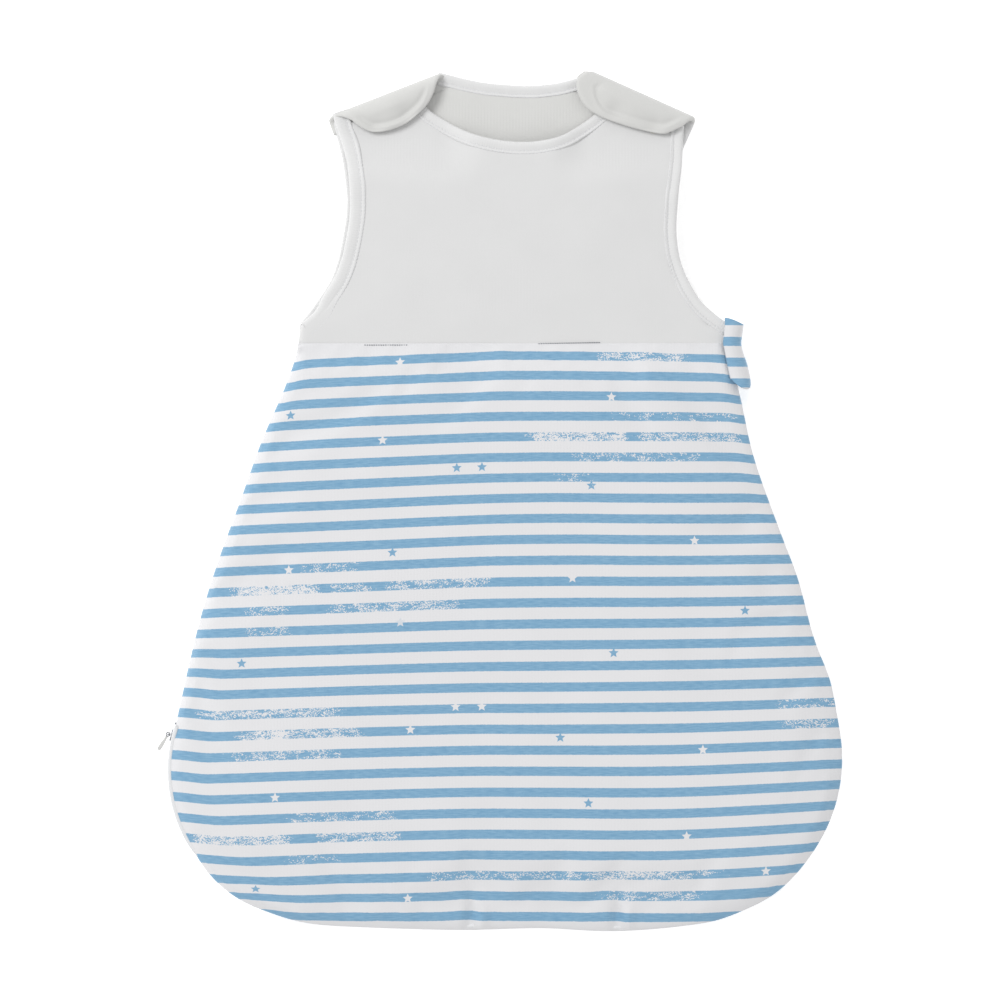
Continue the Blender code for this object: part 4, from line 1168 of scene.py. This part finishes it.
def build_strap(side):
    """One padded strap, from under the back yoke over the shoulder, with dimples at its press studs."""
    origin, along, inward, centre_z = strap_axes(side)
    edge = strip_sides(f"strap_{side}_binding", origin)[0][:, :2]
    flat = np.column_stack([(edge - origin) @ along, (edge - origin) @ inward])
    if flat[0, 0] > flat[-1, 0]:
        flat = flat[::-1]
    tip = flat[:, 1].argmax()
    stations = strap_stations(centre_z, flat[tip, 1])
    sides = []
    for start, line in zip(STRAP_EDGES[side], (flat[:tip + 1], flat[tip:][::-1])):
        sides.append((np.append(STRAP_REACH, line[:, 1]), np.append(start, line[:, 0])))
    columns = (1 - np.cos(np.linspace(0, math.pi, 61))) / 2
    places, flats = [], []
    for v, z, normal_v, normal_z, length in stations:
        low, high = (np.interp(length + centre_z, *line) for line in sides)
        u = low + (high - low) * columns
        places.append([(a, v, z, normal_v, normal_z) for a in u])
        flats.append(np.column_stack([u, np.full(len(u), length)]))
    places, flats = np.array(places), np.array(flats)
    rim = np.vstack([flats[:, 0], flats[-1, 1:-1], flats[::-1, -1]])
    gap = edge_distance(flats.reshape(-1, 2), rim, closed=False)[0].reshape(flats.shape[:2])
    half = STRAP_THICKNESS / 2 * np.sqrt(np.clip(1 - (1 - np.minimum(gap / 2.8, 1)) ** 2, 0, 1))
    puff = strap_puff(side, flats[..., 0], flats[..., 1], gap) * ease((flats[..., 1] + 4) / 8)
    for end in ("inner", "outer"):
        low, high = box_mm(f"popper_socket_{side}_{end}")
        spot = (low + high)[:2] / 2 - origin
        away = np.linalg.norm(flats - np.array([spot @ along, spot @ inward - centre_z]), axis=2)
        puff = puff - 1.5 * np.exp(-(away / 6.5) ** 2)
    points = []
    for offset in (half + puff * ease(gap / 2), -half):
        v = places[..., 1] + places[..., 3] * offset
        z = places[..., 2] + places[..., 4] * offset
        plan = origin + places[..., :1] * along + v[..., None] * inward
        points.append(np.concatenate([plan, z[..., None]], axis=2).reshape(-1, 3))
    rows, count = gap.shape
    below = rows * count
    faces, slots = [], []
    for offset, slot in ((0, 0), (below, 1)):
        for r in range(rows - 1):
            for c in range(count - 1):
                a = offset + r * count + c
                faces.append((a, a + 1, a + count + 1, a + count))
                slots.append(slot if gap[r:r + 2, c:c + 2].min() > 1.0 else 0)
    faces.append([*range(count), *range(below + count - 1, below - 1, -1)])
    slots.append(0)
    cloth = np.vstack([flats.reshape(-1, 2)] * 2)
    piece = make(f"strap_{side}", np.vstack(points), faces, [STRAP_WHITE_SHADED, LINING], cloth, slots)
    settle(piece, None, "white_jersey", *[f"strap_{side}_{layer}" for layer in
                                          ("shell", "wadding", "lining", "binding")])
    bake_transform(piece)


def turned(name, profile, place, material, sides=36):
    """A turned piece from a line of (radius, height)."""
    points, faces = [], []
    for radius, z in profile:
        points += [(place[0] + radius * math.cos(math.tau * k / sides),
                    place[1] + radius * math.sin(math.tau * k / sides), z) for k in range(sides)]
    for r in range(len(profile)):
        a, b = r * sides, (r + 1) % len(profile) * sides
        faces += [(a + k, a + (k + 1) % sides, b + (k + 1) % sides, b + k) for k in range(sides)]
    piece = make(name, points, faces, [material])
    piece.data.set_sharp_from_angle(angle=math.radians(45))
    return piece


def build_poppers(side):
    """A strap's two press studs, each a stud on the bag and a socket on the strap."""
    for end in ("inner", "outer"):
        node = f"popper_stud_{side}_{end}"
        low, high = box_mm(node)
        x, y = (low + high)[:2] / 2
        z, top = low[2], high[2]
        stud = [(0.01, z), (4.2, z), (4.5, z + 0.15), (4.4, z + 0.4), (3.6, z + 0.62), (3.1, z + 0.4),
                (2.2, z + 0.45), (1.25, z + 0.6), (1.15, top - 0.7), (1.55, top - 0.45), (1.5, top - 0.15),
                (0.9, top), (0.01, top)]
        settle(turned(f"press_stud_{side}_{end}", stud, (x, y), BRASS), "bag", "popper_metal", node)
        node = f"popper_socket_{side}_{end}"
        low, high = box_mm(node)
        x, y = (low + high)[:2] / 2
        z, top = low[2], high[2]
        ring = [(2.15, top), (4.3, top), (4.5, top - 0.3), (4.3, z + 0.25), (3.7, z), (3.2, z + 0.2),
                (2.6, z + 0.05), (1.95, z + 0.25), (1.9, z + 0.55), (2.2, z + 0.8)]
        piece = turned(f"press_socket_{side}_{end}", ring, (x, y), BRASS)
        settle(piece, f"strap_{side}", "popper_metal", node)


# ---------------------------------------------------------------- studio

VIEW_WIDTH, VIEW_CENTRE = 757.6, (-3.8, 0.8)
LENS, SENSOR = 200.0, 36.0
DAYLIGHT = 0.675
# (name, place in metres, size in metres, watts)
LAMPS = (("key", (-3.0, 2.2, 4.4), 2.6, 172.0), ("fill", (3.2, -1.2, 4.8), 4.0, 20.0))


def build_studio():
    """A plain pale floor, even daylight, a large soft lamp from the upper left, a weak one from the right,
    and a camera straight above."""
    material, tree = new_material("matt_studio_board")
    place = add(tree, "TexCoord")["Object"]
    tone = mottled(tree, place, 40.0, 2.0, "#FBFBFB", "#F9F9F9")[0]
    finish_material(tree, {"Base Color": tone, "Roughness": 0.9, "Specular IOR Level": 0.0,
                           "Emission Color": (1, 1, 1, 1), "Emission Strength": 0.4})
    bm = bmesh.new()
    bmesh.ops.create_grid(bm, x_segments=1, y_segments=1, size=12)
    mesh = bpy.data.meshes.new("studio_floor")
    bm.to_mesh(mesh)
    bm.free()
    mesh.materials.append(material)
    floor = bpy.data.objects.new("studio_floor", mesh)
    floor.location.z = -0.0006
    bpy.context.scene.collection.objects.link(floor)

    world = bpy.data.worlds.new("daylight")
    bpy.context.scene.world = world
    world.use_nodes = True
    sky = world.node_tree.nodes["Background"]
    sky.inputs["Color"].default_value = (1.0, 1.0, 1.0, 1.0)
    sky.inputs["Strength"].default_value = DAYLIGHT

    for name, place, size, power in LAMPS:
        lamp = bpy.data.lights.new(name, "AREA")
        lamp.shape = "DISK"
        lamp.size = size
        lamp.energy = power
        light = bpy.data.objects.new(name, lamp)
        light.location = place
        light.rotation_euler = (Vector((0, 0, 0)) - Vector(place)).to_track_quat("-Z", "Y").to_euler()
        bpy.context.scene.collection.objects.link(light)

    camera = bpy.data.cameras.new("camera")
    camera.lens = LENS
    camera.sensor_width = SENSOR
    eye = bpy.data.objects.new("camera", camera)
    eye.location = (VIEW_CENTRE[0] * MM, VIEW_CENTRE[1] * MM, (VIEW_WIDTH * LENS / SENSOR + FRONT_TOP) * MM)
    bpy.context.scene.collection.objects.link(eye)
    bpy.context.scene.camera = eye
    bpy.context.scene.view_settings.view_transform = "Standard"


build_studio()
outline = skirt_edge()
build_front_skirt(outline)
build_back_skirt(outline)
build_yokes()
build_bands()
build_seams()
build_zip()
build_slider()
build_guard()
for strap_side in ("left", "right"):
    build_strap(strap_side)
    build_poppers(strap_side)
